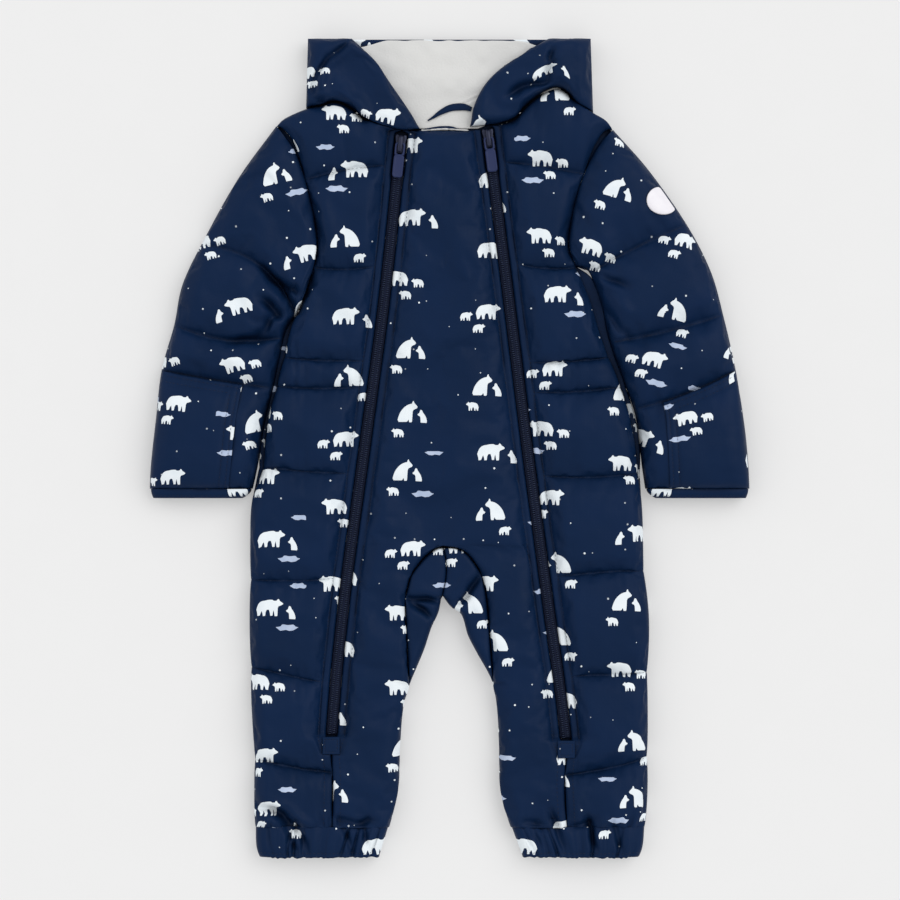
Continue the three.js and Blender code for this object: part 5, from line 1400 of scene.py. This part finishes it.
class SNOWSUIT_OT_front(bpy.types.Operator):
    """Makes the quilted side panels, the centre panel and the crotch gussets"""
    bl_idname = "snowsuit.front"
    bl_label = "Front panels"

    def execute(self, context):
        sizes = context.scene.snowsuit_sizes
        for side in SIDES:
            self.side(side, sizes)
        halves = [centre_half(side, sizes) for side in SIDES]
        rims = []
        for half in halves:
            pins = pins_for(half.shape)
            pins[1:-1, -1] = half[1:-1, 0, 1] < CROTCH_TOP
            rims.append(pins | (np.abs(half[..., 0] - half[:, :1, 0]) < ZIP_BAND + 0.5))
        halves = inflate(halves, rims, sizes)
        pattern = Pattern()
        for half in halves:
            pattern.grid(half)
            sew(offset_path(half, ZIP_BAND, "first"), lift=0.15)
        lay(pattern, "front_center", *cut_of(*halves), floor=FRONT_BASE, weld=SEAM_WELD, offset=(0, 30))
        for side in SIDES:
            grid = gusset_grid(side)
            lay(Pattern().grid(grid), f"gusset_{side}", *cut_of(grid), floor=FRONT_BASE, offset=(20, 0))
        return {"FINISHED"}

    def side(self, side, sizes):
        grid, share = side_panel(side, sizes)
        starts = np.flatnonzero(share.ravel() < 1e-9)
        pins = pins_for(grid.shape, rows=starts)
        pins |= span_length(grid)[:, -1:] - span_length(grid) < ZIP_BAND + 0.5
        grid, = inflate([grid], [pins], sizes)
        for row in starts[1:]:
            sew(grid[row, 2:-8])
        sew(offset_path(grid, ZIP_BAND), lift=0.15)
        pattern = Pattern().grid(grid, unrolled(grid))
        offset = (300, 0) if side == "right" else (-300, 20)
        lay(pattern, f"front_side_{side}", *cut_of(grid), floor=FRONT_BASE, offset=offset)


class SNOWSUIT_OT_sleeves(bpy.types.Operator):
    """Makes the sleeves, the fold-over mittens and the cuff bindings"""
    bl_idname = "snowsuit.sleeves"
    bl_label = "Sleeves"

    def execute(self, context):
        sizes = context.scene.snowsuit_sizes
        for side in SIDES:
            upper, lines = sleeve_grid(side, sizes)
            stitched = [k for k, row in enumerate(SLEEVES[side]) if row[5]]
            rows = [int(np.argmin(np.abs(lines - k))) for k in stitched]
            upper, = inflate([upper], [pins_for(upper.shape, rows=rows)], sizes)
            self.sleeve(side, upper)
            for row in rows[1:-1]:
                sew(upper[row, 3:-3])
            self.mitten(side, sizes)
            self.cuff(side)
        return {"FINISHED"}

    def sleeve(self, side, upper):
        from_outer = span_length(upper[..., :2])
        from_inner = from_outer[:, -1:] - from_outer
        rounding = rise(from_outer, EDGE_ROLL) * rise(from_inner, EDGE_ROLL)
        lower = upper.copy()
        lower[..., 2] = (BACK_TOP - EDGE_RIM) * (1 - rounding)
        lower = lower[:, np.r_[0:59:3, 59]]
        swollen = []
        for k, towards in ((0, 1), (-1, -2)):
            away = upper[:, k, :2] - upper[:, towards, :2]
            away /= np.linalg.norm(away, axis=1, keepdims=True)
            edge = upper[:, k].copy()
            edge[:, :2] += away * 1.1
            edge[:, 2] = BACK_TOP
            swollen.append(edge[:, None])
        lower = lower[:, ::-1]
        rings = np.concatenate([lower, swollen[0], upper, swollen[1], lower[:, :1]], axis=1)
        # The cut lies upright along the sleeve, folded at the outer edge and sewn at the inner one
        turn = math.radians(SLEEVE_TURN * OUTWARDS[side])
        upright = np.array([(math.cos(turn), math.sin(turn)), (-math.sin(turn), math.cos(turn))])
        over, under = unrolled(upper) @ upright, unrolled(lower[:, ::-1])[:, ::-1] @ upright
        fold = over[:, :1, 0]
        under[..., 0] = fold - (under[..., 0] - under[:, -1:, 0])
        cut = np.concatenate([under, over[:, :1], over, over[:, -1:], over[:, -1:]], axis=1)
        offset = (420, 140) if side == "right" else (-420, 170)
        lay(Pattern().grid(rings, cut), f"sleeve_{side}", *cut_of(rings), offset=offset)

    def mitten(self, side, sizes):
        shares = np.concatenate([[0.004, 0.012], mix(0.03, MITTEN_INNER, spread(44, 0.5))])
        lines = lines_along(side, MITTEN_LINE + 0.02)
        wider = 1 + 0.06 * (lines - MITTEN_LINE) / 3
        plan = np.concatenate([sleeve_plan(side, [line], shares * wide) for line, wide in zip(lines, wider)])
        top = sleeve_top(side, lines, sleeve_plan(side, lines, spread(60, 0.7)), sizes)
        height = np.array([np.interp(shares * wide, spread(60, 0.7), row) for row, wide in zip(top, wider)])
        lower = np.dstack([plan, height + 0.35])
        from_top, from_inner = span_length(plan, 0), span_length(plan)[:, -1:] - span_length(plan)
        soft = 0.5 * undulate(131 + len(side), plan[..., 0], plan[..., 1])
        band = rise(from_top + 0.5, 1) * rise(from_inner + 0.5, 1)
        padded = rise(from_top - 8.5, 9) * rise(from_inner - 8.5, 9)
        grooves = sum(0.8 * np.exp(-(((away - place) / 0.8) ** 2)) for away in (from_top, from_inner)
                      for place in MITTEN_ROWS)
        thick = MITTEN_THICKNESS * band + (1.2 + soft) * padded - grooves * band
        ends = np.linalg.norm(plan - plan[-1:], axis=-1)
        thick = thick * (0.55 + 0.45 * rise(ends, 8))
        upper = lower + np.dstack([0 * thick, 0 * thick, np.maximum(thick, 0.7)])
        pattern = Pattern().slab(upper, lower, flat_cut(upper))
        offset = (200, 510) if side == "right" else (-200, -510)
        lay(pattern, f"mitten_{side}", *cut_of(upper), rests_on=(f"sleeve_{side}_cloth",), offset=offset)
        for place in MITTEN_ROWS:
            inner = offset_path(upper, place)
            start = int(np.argmax(from_top[:, -1] > place))
            sew(inner[start:], lift=0.1)
            across = np.array([[np.interp(place, from_top[:, c], upper[:, c, i]) for i in range(3)]
                               for c in range(4, upper.shape[1])])
            across = across[from_inner[start, 4:] > place]
            sew(across, lift=0.1)

    def cuff(self, side):
        end = SLEEVES[side][-1]
        out = OUTWARDS[side]
        shares = spread(64, 0.8)
        rings = []
        # Nine rings down the outside, then eight up inside the mouth
        for k, t in enumerate(np.concatenate([np.linspace(0, 1, 9), np.linspace(1, -1.2, 8)])):
            t_x = min(max(t, 0), 1)
            x0, x1 = end[0] - out * 2 * t_x**2, end[2] + out * 7 * t_x**2
            x = mix(x0, x1, shares)
            y = mix(CUFF_TOP - SEAM_GAP, CUFF_END, t) + 0 * x
            height = mix(SEAM_RIM + 4.4, SEAM_RIM + 2.6, t_x) + 0.35 * noise_along(139, 5, x)
            height = height + 1.1 * math.sin(math.pi * t_x)
            rings.append(band_ring(x, y, x0, x1, height, *((2.0, 0.985) if k >= 9 else (0.0, 1))))
        rings = np.array(rings)
        pattern = Pattern().tube(rings, flat_cut(rings))
        lay(pattern, f"cuff_{side}", *cut_of(rings), rests_on=("surface",), offset=(77, 30))
        sew(rings[6, 3:61], lift=0.1)


class SNOWSUIT_OT_ankles(bpy.types.Operator):
    """Makes the gathered, elasticated ankle casings"""
    bl_idname = "snowsuit.ankles"
    bl_label = "Ankle casings"

    def execute(self, context):
        for side in SIDES:
            self.ankle(side)
        return {"FINISHED"}

    def ankle(self, side):
        out = OUTWARDS[side]
        shares = np.linspace(0, 1, 160)
        rings = []
        # Fifteen rings down the outside, then twelve up inside the mouth
        for k, t in enumerate(np.concatenate([np.linspace(-0.04, 1, 15), np.linspace(0.99, -0.3, 12)])):
            t_x = min(max(t, 0), 1)
            y0, at = mix(ANKLE_TOP, HEM, t), mix(ANKLE_TOP, HEM, t_x)
            x0 = float(edge_at(BODY_SIDE[side], at)) - out * 3 * t_x**4
            x1 = float(edge_at(LEG_INSIDE[side], at))
            x = mix(x0, x1, shares)
            # Gathers: a few deep pleats where the photo shows them, and shallow ripples between them
            width = abs(x1 - x0)
            lean = shares + 0.07 * (t_x - 0.7) * noise_along(149, 0.09, shares)
            folds = 1.0 + 0.6 * noise_along(153, 1 / 22, shares) + 0.3 * noise_along(155, 1 / 60, shares)
            for at_share, depth, wide in PLEATS[side]:
                folds = folds - depth * np.exp(-(((lean - at_share) * width / wide) ** 2))
            casing = swell(mix(0.02, 0.85, t_x))
            hem = 0.5 * np.exp(-(((t_x - 0.86) / 0.05) ** 2))
            height = mix(CASING_JOIN + 0.3, 12, casing) + folds * (0.3 + 0.7 * casing) - hem
            height = height + 0.7 * folds_at(BODY_FOLDS, x, y0)
            ruffle = (0.5 * noise_along(157, 1 / 18, shares) + 0.5 * noise_along(158, 1 / 50, shares)) * t_x
            y = y0 + ruffle + 0 * x
            rings.append(band_ring(x, y, x0, x1, height, *((2.2, 0.98) if k >= 15 else (0.0, 1))))
        rings = np.array(rings)
        pattern = Pattern().tube(rings, flat_cut(rings))
        lay(pattern, f"ankle_{side}", *cut_of(rings), rests_on=("surface",), offset=(60, 260))
        sew(rings[12, 4:156], lift=0.1)


class SNOWSUIT_OT_hood(bpy.types.Operator):
    """Makes the hood's folded sides, its lining, the hanging loop and the neck edge"""
    bl_idname = "snowsuit.hood"
    bl_label = "Hood"

    def execute(self, context):
        sizes = context.scene.snowsuit_sizes
        for side in SIDES:
            grid = hood_grid(side, sizes)
            pins = pins_for(grid.shape)
            far = np.linalg.norm(grid - grid[:, -1:], axis=-1)
            grid, = inflate([grid], [pins | (far < 2)], sizes)
            pattern = Pattern().grid(grid, flat_cut(grid) * (-OUTWARDS[side], 1))
            offset = (-40, 200) if side == "right" else (15, 260)
            lay(pattern, f"hood_{side}", *cut_of(grid), rests_on=("hood_back", "hood_lining"),
                floor=FRONT_BASE + 0.1, offset=offset)
        self.lining()
        self.loop()
        self.neck_edge()
        return {"FINISHED"}

    def lining(self):
        y = np.linspace(324, 255.8, 70)
        ys, lefts, rights = np.array(LINING_WIDTHS[::-1], float).T
        left, right = np.interp(y, ys, lefts), np.interp(y, ys, rights)
        x = mix(left[:, None], right[:, None], np.linspace(0, 1, 110))
        y = y[:, None] + 0 * x
        ends = smooth((np.abs(x - 2) - 50) / 24)
        y = y + (2.2 - 5 * ends + 0.5 * noise_along(163, 7, x)) * smooth((y - 300) / 24)
        free = smooth((y - 277) / 14)
        soft = free * (1.3 + 1.3 * noise_over(161, 24, x, y) + 0.6 * noise_over(162, 9, x, y))
        (x0, y0), (x1, y1) = LINING_SEAM
        away = ((x - x0) * (y1 - y0) - (y - y0) * (x1 - x0)) / math.hypot(x1 - x0, y1 - y0)
        between = smooth((x - x0) / 4) * smooth((x1 - x) / 4)
        seam = between * (0.5 * np.exp(-(((np.abs(away) - 1.6) / 1.2) ** 2))
                          - 0.5 * np.exp(-((away / 0.7) ** 2)))
        upper = np.dstack([x, y, FRONT_BASE + LINING_THICKNESS + soft + seam])
        lower = np.dstack([x, y, FRONT_BASE + 0 * x])
        pattern = Pattern().slab(upper, lower)
        lay(pattern, "hood_lining", *cut_of(upper), rests_on=("hood_back", "back"), finish="lining",
            slot="lining")

    def loop(self):
        *arch, wide = curve_through(LOOP_ARCH, np.linspace(0, 1, 60)).T
        z = HOOD_BASE + 0.65 + 0.5 * np.sin(np.linspace(0, math.pi, 60))
        path = np.column_stack([*arch, z])
        rings = sweep(path, 1, 16, squash=(wide[:, None, None], 0.62))
        pattern = Pattern().tube(rings, flat_cut(rings) * 0.05, capped=True)
        (_, long), area = cut_of(rings)
        lay(pattern, "hanging_loop", (10, long), area / 2, rests_on=("hood_lining_cloth",), held="folded",
            offset=(505, 522))
        for side in (0.6, -0.6):
            sew(mix(path, rings[:, 0 if side > 0 else 8], abs(side))[8:-3] + (0, 0, 0.5), 1.6, 0.5, 0.12)

    def neck_edge(self):
        """The pale piping along the neck, and above it a strip of dark shell cloth put where the neck opening
        is in shadow: a painted shadow.
        """
        x = np.linspace(-22, 15.5, 60)
        thick = 0.75 + 0.25 * noise_along(173, 2.2, x)
        path = np.column_stack([x, 254.4 + 0.5 * np.cos((x + 3) / 19 * math.pi),
                                11.8 + 0.3 * noise_along(172, 9, x)])
        rings = sweep(path, 1, 16, squash=(thick[:, None, None], 2.6))
        # Painted shadow: a dark strip of shell cloth over the lining's lower edge, where the inside of the
        # neck opening is in shadow
        shadow_strip = np.array([(-20, 255.2), (-14, 256.6), (-6, 257.6), (2, 257.4), (8, 255.4)])
        top = curve_through(shadow_strip, np.linspace(0, 1, 30))
        low = np.column_stack([top[:, 0], np.full(30, 254.6)])
        upper = np.dstack([mix(low, top, np.linspace(0, 1, 6)[:, None, None]), np.full((6, 30), 11.4)])
        pattern = Pattern().tube(rings, flat_cut(rings), capped=True)
        edge = pattern.build("neck_edge_cloth", finish_named("lining"))
        pattern = Pattern().slab(upper, upper - (0, 0, 0.7), upper[..., :2] * 0.2)
        shadow_strip = pattern.build("neck_shadow_strip_cloth", finish_named("shell"))
        for cloth, slot, shown, share in ((edge, "lining", rings, 0.5), (shadow_strip, "shell", upper, 1)):
            size, area = cut_of(shown)
            long = max(size) * MM
            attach(cloth, GARMENT)
            area = max(area * share, 0.0033 * long)
        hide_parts("neck_edge")


class SNOWSUIT_OT_zips(bpy.types.Operator):
    """Makes the zip tapes, the coiled teeth and the square patches at the zips' lower ends"""
    bl_idname = "snowsuit.zips"
    bl_label = "Zips"

    def execute(self, context):
        for side in SIDES:
            self.tape(side)
            self.coil(side)
            self.patch(side)
        return {"FINISHED"}

    def tape(self, side):
        y = np.linspace(ZIP_TOP[side], ZIP_END[side], 240)[:, None]
        across = np.linspace(-TAPE_HALF, TAPE_HALF, 13)
        x = edge_at(ZIP_LINE[side], y) + across
        y = y + 0 * across
        bow = 0.35 * np.cos(across / TAPE_HALF * math.pi / 2) + 0.2 * noise_over(181, 9, x, y)
        upper = np.dstack([x, y, TAPE_TOP - 0.35 + bow])
        lower = np.dstack([x, y, FRONT_BASE + 0 * x])
        (_, long), area = cut_of(upper)
        pattern = Pattern().slab(upper, lower)
        lay(pattern, f"zip_tape_{side}", (10, long), area, finish="tape", slot="zip_tape", held="stretched")

    def coil(self, side):
        y = np.arange(ZIP_END[side] + 0.8, ZIP_TOP[side] - 1, TOOTH_PITCH / 2)
        middle = edge_at(ZIP_LINE[side], y)
        slope = (edge_at(ZIP_LINE[side], y + 2) - edge_at(ZIP_LINE[side], y - 2)) / 4
        teeth = []
        for k, (centre, height, lean) in enumerate(zip(middle, y, slope)):
            way = 1 if k % 2 else -1
            sit = lambda across, up: np.array([centre + across, height - lean * across, up])
            teeth.append((sit(way * 3.2, 11.75), sit(way * 1.6, 12.45), sit(way * 0.1, 12.0), 0.42))
        core = np.column_stack([middle, y, np.full(len(y), 11.9)])[::4]
        coil = strands(f"zip_chain_{side}_coil", teeth, finish_named("coil"))
        rings = sweep(core, 0.7, 8, squash=(1.5, 1))
        cord = Pattern().tube(rings, flat_cut(rings)).build(f"zip_chain_{side}_cord", finish_named("tape"))
        for piece in (coil, cord):
            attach(piece, GARMENT)
        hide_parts(f"zip_chain_{side}")

    def patch(self, side):
        start = ZIP_END[side] - 0.8
        y = np.linspace(start, start - END_PATCH, 30)[:, None]
        dx = np.linspace(-END_PATCH / 2, END_PATCH / 2, 30)
        x = edge_at(ZIP_LINE[side], start) + dx + 0 * y
        y = y + 0 * dx
        base = FRONT_BASE + PATCH_REST + 0 * x
        rim = np.minimum(END_PATCH / 2 - np.abs(dx), np.minimum(start - y, y - start + END_PATCH))
        top = base + 0.5 + 0.9 * rise(rim, 1.5) - 0.4 * np.exp(-(((rim - 2.2) / 0.6) ** 2))
        upper, lower = np.dstack([x, y, top]), np.dstack([x, y, base])
        under = (f"front_side_{side}_cloth", "front_center_cloth")
        lay(Pattern().slab(upper, lower), f"zip_end_{side}", *cut_of(upper), rests_on=under, offset=(33, 44))
        for row in (upper[4:-4, 4], upper[4:-4, -5], upper[4, 4:-4], upper[-5, 4:-4]):
            sew(row, 2.0, 0.6, 0.16)


class SNOWSUIT_OT_pulls(bpy.types.Operator):
    """Makes the zip sliders and the two parts of each pull, its eye and its grip"""
    bl_idname = "snowsuit.pulls"
    bl_label = "Sliders and pulls"

    def execute(self, context):
        for side in SIDES:
            middle = ZIP_TOP[side] - SLIDER_LENGTH / 2
            slope = edge_at(ZIP_LINE[side], middle + 5) - edge_at(ZIP_LINE[side], middle - 15)
            turn = Matrix.Rotation(-math.atan2(slope, 20), 4, "Z")
            spot = (edge_at(ZIP_LINE[side], middle) * MM, middle * MM, SLIDER_BASE * MM)
            place = Matrix.Translation(spot) @ turn
            for name, maker, finish, slot, body in (
                (f"zip_slider_{side}", self.slider, "slider", "slider_metal", GARMENT),
                (f"zip_loop_{side}", self.eye, "grip", "slider_metal", f"pull_{side}"),
                (f"zip_pull_{side}", self.grip, "grip", "pull_grip", f"pull_{side}"),
            ):
                obj = maker(f"{name}_detail", finish_named(finish))
                obj.data.transform(place)
                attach(obj, body)
                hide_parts(name)
        return {"FINISHED"}

    def slider(self, name, material):
        """A body with two shoulders at its upper end, and a long narrow bridge over it."""
        half = [(0, 5.2), (1.6, 6.4), (3.0, 7.5), (4.3, 6.9), (4.5, 4.6), (3.9, 1.0), (3.6, -4.0),
                (3.0, -6.6), (1.4, -7.5), (0, -7.5)]
        ring = half + [(-x, y) for x, y in half[-2:0:-1]]
        shape = curve_through(ring[-1:] + ring + ring[:2], np.linspace(0, 1, 97))[4:-4]
        shape[-1] = shape[0]
        body = stacked(shape, [(0, 0.9), (0, 0.4), (0.25, 0.1), (0.6, 0), (1.4, 0), (1.9, 0.25), (2.15, 0.8),
                               (2.2, 1.5)])
        pattern = Pattern().tube(body, body[..., :2], capped=True)
        t = np.linspace(0, 1, 33)
        arch = np.column_stack([0 * t, 6.2 * np.cos(t * math.pi), 1.9 + 3.2 * np.sin(t * math.pi) ** 0.4])
        rings = sweep(arch, 1, 14, squash=(1.7, 0.65), side=(1, 0, 0))
        return pattern.tube(rings, rings[..., :2]).build(name, material)

    def eye(self, name, material):
        """The flat ring at the pull's upper end, which the slider's bridge passes through."""
        outer, inner = outline(4.1, 10.7, 2.2, 0.7), outline(2.5, 7.9, 1.4, -0.7)
        rings = np.concatenate([
            stacked(outer, [(-0.7, 0.35), (-0.35, 0), (0.35, 0), (0.7, 0.35)]),
            stacked(inner, [(0.7, -0.3), (0.35, 0), (-0.35, 0), (-0.7, -0.3)]),
            stacked(outer, [(-0.7, 0.35)]),
        ]) + (0, 0, PIVOT_HEIGHT)
        return Pattern().tube(rings, rings[..., :2]).build(name, material)

    def grip(self, name, material):
        """The flat plate below the eye, with rounded edges and a shallow panel in its face."""
        shape = outline(4.2, 18.3, 2.4, -9.0, points=13)
        levels = [(-1.3, 1.0), (-1.2, 0.4), (-0.8, 0.08), (-0.3, 0), (0.3, 0), (0.8, 0.1), (1.12, 0.45),
                  (1.2, 0.9), (1.18, 1.2), (1.05, 1.5), (1.02, 1.9)]
        rings = stacked(shape, [(PIVOT_HEIGHT + z, inset) for z, inset in levels])
        return Pattern().tube(rings, rings[..., :2], capped=True).build(name, material)


class SNOWSUIT_OT_badge(bpy.types.Operator):
    """Makes the plain round badge on the left upper arm"""
    bl_idname = "snowsuit.badge"
    bl_label = "Badge"

    def execute(self, context):
        sizes = context.scene.snowsuit_sizes
        side, line, share, radius, least = "left", 1.5, 0.075, 12.0, 0.012
        step = 0.01
        centre, along = sleeve_plan(side, [line, line + step], [share])[:, 0]
        across = sleeve_plan(side, [line], [share + step])[0, 0]
        per_line = step / np.linalg.norm(along - centre)
        per_share = step / np.linalg.norm(across - centre)
        shares = spread(60, 0.7)
        rings = []
        for reach, lift in ((0.02, 1.25), (0.25, 1.25), (0.5, 1.25), (0.75, 1.22), (0.9, 1.15), (0.97, 0.9),
                            (1, 0.5), (1, 0)):
            ring = []
            for angle in np.linspace(0, math.tau, 61):
                outward = max(-math.cos(angle), 1e-3)
                far = min(radius, (share - least) / (outward * per_share)) * reach
                at_line = line + math.sin(angle) * far * per_line
                at_share = share + math.cos(angle) * far * per_share
                row = sleeve_plan(side, [at_line], shares)
                z = np.interp(at_share, shares, sleeve_top(side, [at_line], row, sizes, plain=True)[0])
                x, y = sleeve_plan(side, [at_line], [at_share])[0, 0]
                ring.append((x, y, z + 1.3 + lift))
            rings.append(ring)
        rings = np.array(rings)
        pattern = Pattern().tube(rings, rings[..., :2])
        pattern.cap(rings[0])
        floor = rings[-1] - (0, 0, 2.4)
        pattern.grid(np.stack([rings[-1], floor]), wrap=True)
        pattern.cap(floor)
        badge = pattern.build("badge_disc", finish_named("badge"))
        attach(badge, GARMENT)
        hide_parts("badge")
        return {"FINISHED"}


class SNOWSUIT_OT_stitching(bpy.types.Operator):
    """Makes the sewing thread along the quilting lines, bands and hems"""
    bl_idname = "snowsuit.stitching"
    bl_label = "Stitching"

    def execute(self, context):
        thread = strands("sewing_thread", STITCHES, finish_named("thread"))
        STITCHES.clear()
        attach(thread, GARMENT)
        return {"FINISHED"}


class SNOWSUIT_OT_stage(bpy.types.Operator):
    """Sets up the paper floor, the lights and the camera that looks straight down"""
    bl_idname = "snowsuit.stage"
    bl_label = "Stage"

    def execute(self, context):
        scene = context.scene
        mesh = bpy.data.meshes.new("paper")
        mesh.from_pydata([(-6, -6, 0), (6, -6, 0), (6, 6, 0), (-6, 6, 0)], [], [(0, 1, 2, 3)])
        mesh.materials.append(finish_named("paper"))
        floor = bpy.data.objects.new("paper_floor", mesh)
        floor.location.z = -0.0004
        scene.collection.objects.link(floor)

        camera = bpy.data.cameras.new("camera")
        camera.sensor_width = 36
        camera.lens = CAMERA_LENS
        eye = bpy.data.objects.new("camera", camera)
        eye.location = CAMERA_PLACE
        scene.collection.objects.link(eye)
        scene.camera = eye

        world = bpy.data.worlds.new("studio")
        world.use_nodes = True
        world.node_tree.nodes["Background"].inputs[0].default_value = (1, 1, 1, 1)
        world.node_tree.nodes["Background"].inputs[1].default_value = WORLD_STRENGTH
        scene.world = world
        scene.view_settings.view_transform = "Standard"

        for name, place, size, power in SUNS:
            light = bpy.data.lights.new(name, "SUN")
            light.angle = size
            light.energy = power
            lamp = bpy.data.objects.new(name, light)
            lamp.location = place
            lamp.rotation_euler = (-Vector(place)).to_track_quat("-Z", "Y").to_euler()
            scene.collection.objects.link(lamp)
        return {"FINISHED"}


def length_property(name, description, default):
    return bpy.props.FloatProperty(name=name, description=description, default=default, unit="LENGTH",
                                   precision=4)


def colour_property(name, description, hex_colour):
    return bpy.props.FloatVectorProperty(
        name=name, description=description, default=linear(hex_colour)[:3], subtype="COLOR", size=3, min=0,
        max=1)


class SnowsuitSizes(bpy.types.PropertyGroup):
    quilt_peak: length_property("Quilt height", "Height of the side panels between quilting lines", 0.0145)
    plain_peak: length_property("Centre height", "Height of the plain centre panel", 0.0125)
    sleeve_peak: length_property("Sleeve height", "Height of the sleeves between stitched lines", 0.017)
    hood_peak: length_property("Hood height", "Height of the hood's folded sides", 0.015)
    pucker_depth: length_property("Pucker depth", "Depth of the gathers beside quilting lines", 0.0006)
    scallop: length_property("Scallop", "How far the padding pushes a side seam out between lines", 0.0014)
    print_pitch_x: length_property("Print width", "Width of the print's cells", 0.062)
    print_pitch_y: length_property("Print height", "Height of the print's cells", 0.054)
    thread_spacing: length_property("Thread spacing", "Spacing at which the weave is drawn", 0.0007)
    puff_cap: length_property("Puff cap", "How far the cloth simulation may move a point", 0.005)
    puff_pressure: bpy.props.FloatProperty(name="Puff pressure", description="Pressure of the padding",
                                           default=1.7)
    puff_stiffness: bpy.props.FloatProperty(name="Puff stiffness",
                                            description="Bending stiffness of the padded cloth", default=2.0)
    puff_slack: bpy.props.FloatProperty(name="Puff slack", description="Spare cloth between seams",
                                        default=0.012)
    puff_frames: bpy.props.IntProperty(name="Puff frames", description="Steps of the cloth simulation",
                                       default=20)


class SnowsuitColours(bpy.types.PropertyGroup):
    navy: colour_property("Navy", "Dyed ground of the shell", "#0a1f3c")
    navy_light: colour_property("Navy, paler", "Paler patches of the dye", "#0d2446")
    lining: colour_property("Lining", "Brushed lining of the hood", "#d8d8d7")
    thread: colour_property("Thread", "Sewing thread", "#0e1f40")
    zip_tape: colour_property("Zip tape", "Woven tape of the zips", "#0a1226")
    zip_coil: colour_property("Zip coil", "Coiled teeth of the zips", "#161e34")
    slider: colour_property("Slider", "Enamel of the sliders", "#161c36")
    pull_grip: colour_property("Grip", "Moulded grips of the pulls", "#1e2950")
    badge: colour_property("Badge", "Disc on the left upper arm", "#f3f1f4")
    paper: colour_property("Paper", "Floor under the suit", "#c2c2c2")


PIECES = (
    SNOWSUIT_OT_back, SNOWSUIT_OT_front, SNOWSUIT_OT_sleeves, SNOWSUIT_OT_ankles, SNOWSUIT_OT_hood,
    SNOWSUIT_OT_zips, SNOWSUIT_OT_pulls, SNOWSUIT_OT_badge, SNOWSUIT_OT_stitching, SNOWSUIT_OT_stage,
)


class SNOWSUIT_PT_pieces(bpy.types.Panel):
    """Lists the snowsuit's sizes, colours and pieces"""
    bl_label = "Snowsuit"
    bl_idname = "SNOWSUIT_PT_pieces"
    bl_space_type = "VIEW_3D"
    bl_region_type = "UI"
    bl_category = "Snowsuit"

    def draw(self, context):
        for group in (context.scene.snowsuit_sizes, context.scene.snowsuit_colours):
            for name in group.__annotations__:
                self.layout.prop(group, name)
        for piece in PIECES:
            self.layout.operator(piece.bl_idname)


def register():
    for kind in (SnowsuitSizes, SnowsuitColours, *PIECES, SNOWSUIT_PT_pieces):
        bpy.utils.register_class(kind)
    bpy.types.Scene.snowsuit_sizes = bpy.props.PointerProperty(type=SnowsuitSizes)
    bpy.types.Scene.snowsuit_colours = bpy.props.PointerProperty(type=SnowsuitColours)


def unregister():
    del bpy.types.Scene.snowsuit_colours
    del bpy.types.Scene.snowsuit_sizes
    for kind in (SNOWSUIT_PT_pieces, *reversed(PIECES), SnowsuitColours, SnowsuitSizes):
        bpy.utils.unregister_class(kind)


def main():
    register()
    bpy.ops.snowsuit.stage()
    bpy.ops.snowsuit.back()
    bpy.ops.snowsuit.front()
    bpy.ops.snowsuit.sleeves()
    bpy.ops.snowsuit.ankles()
    bpy.ops.snowsuit.hood()
    bpy.ops.snowsuit.zips()
    bpy.ops.snowsuit.pulls()
    bpy.ops.snowsuit.badge()
    bpy.ops.snowsuit.stitching()


if __name__ == "__main__":
    main()
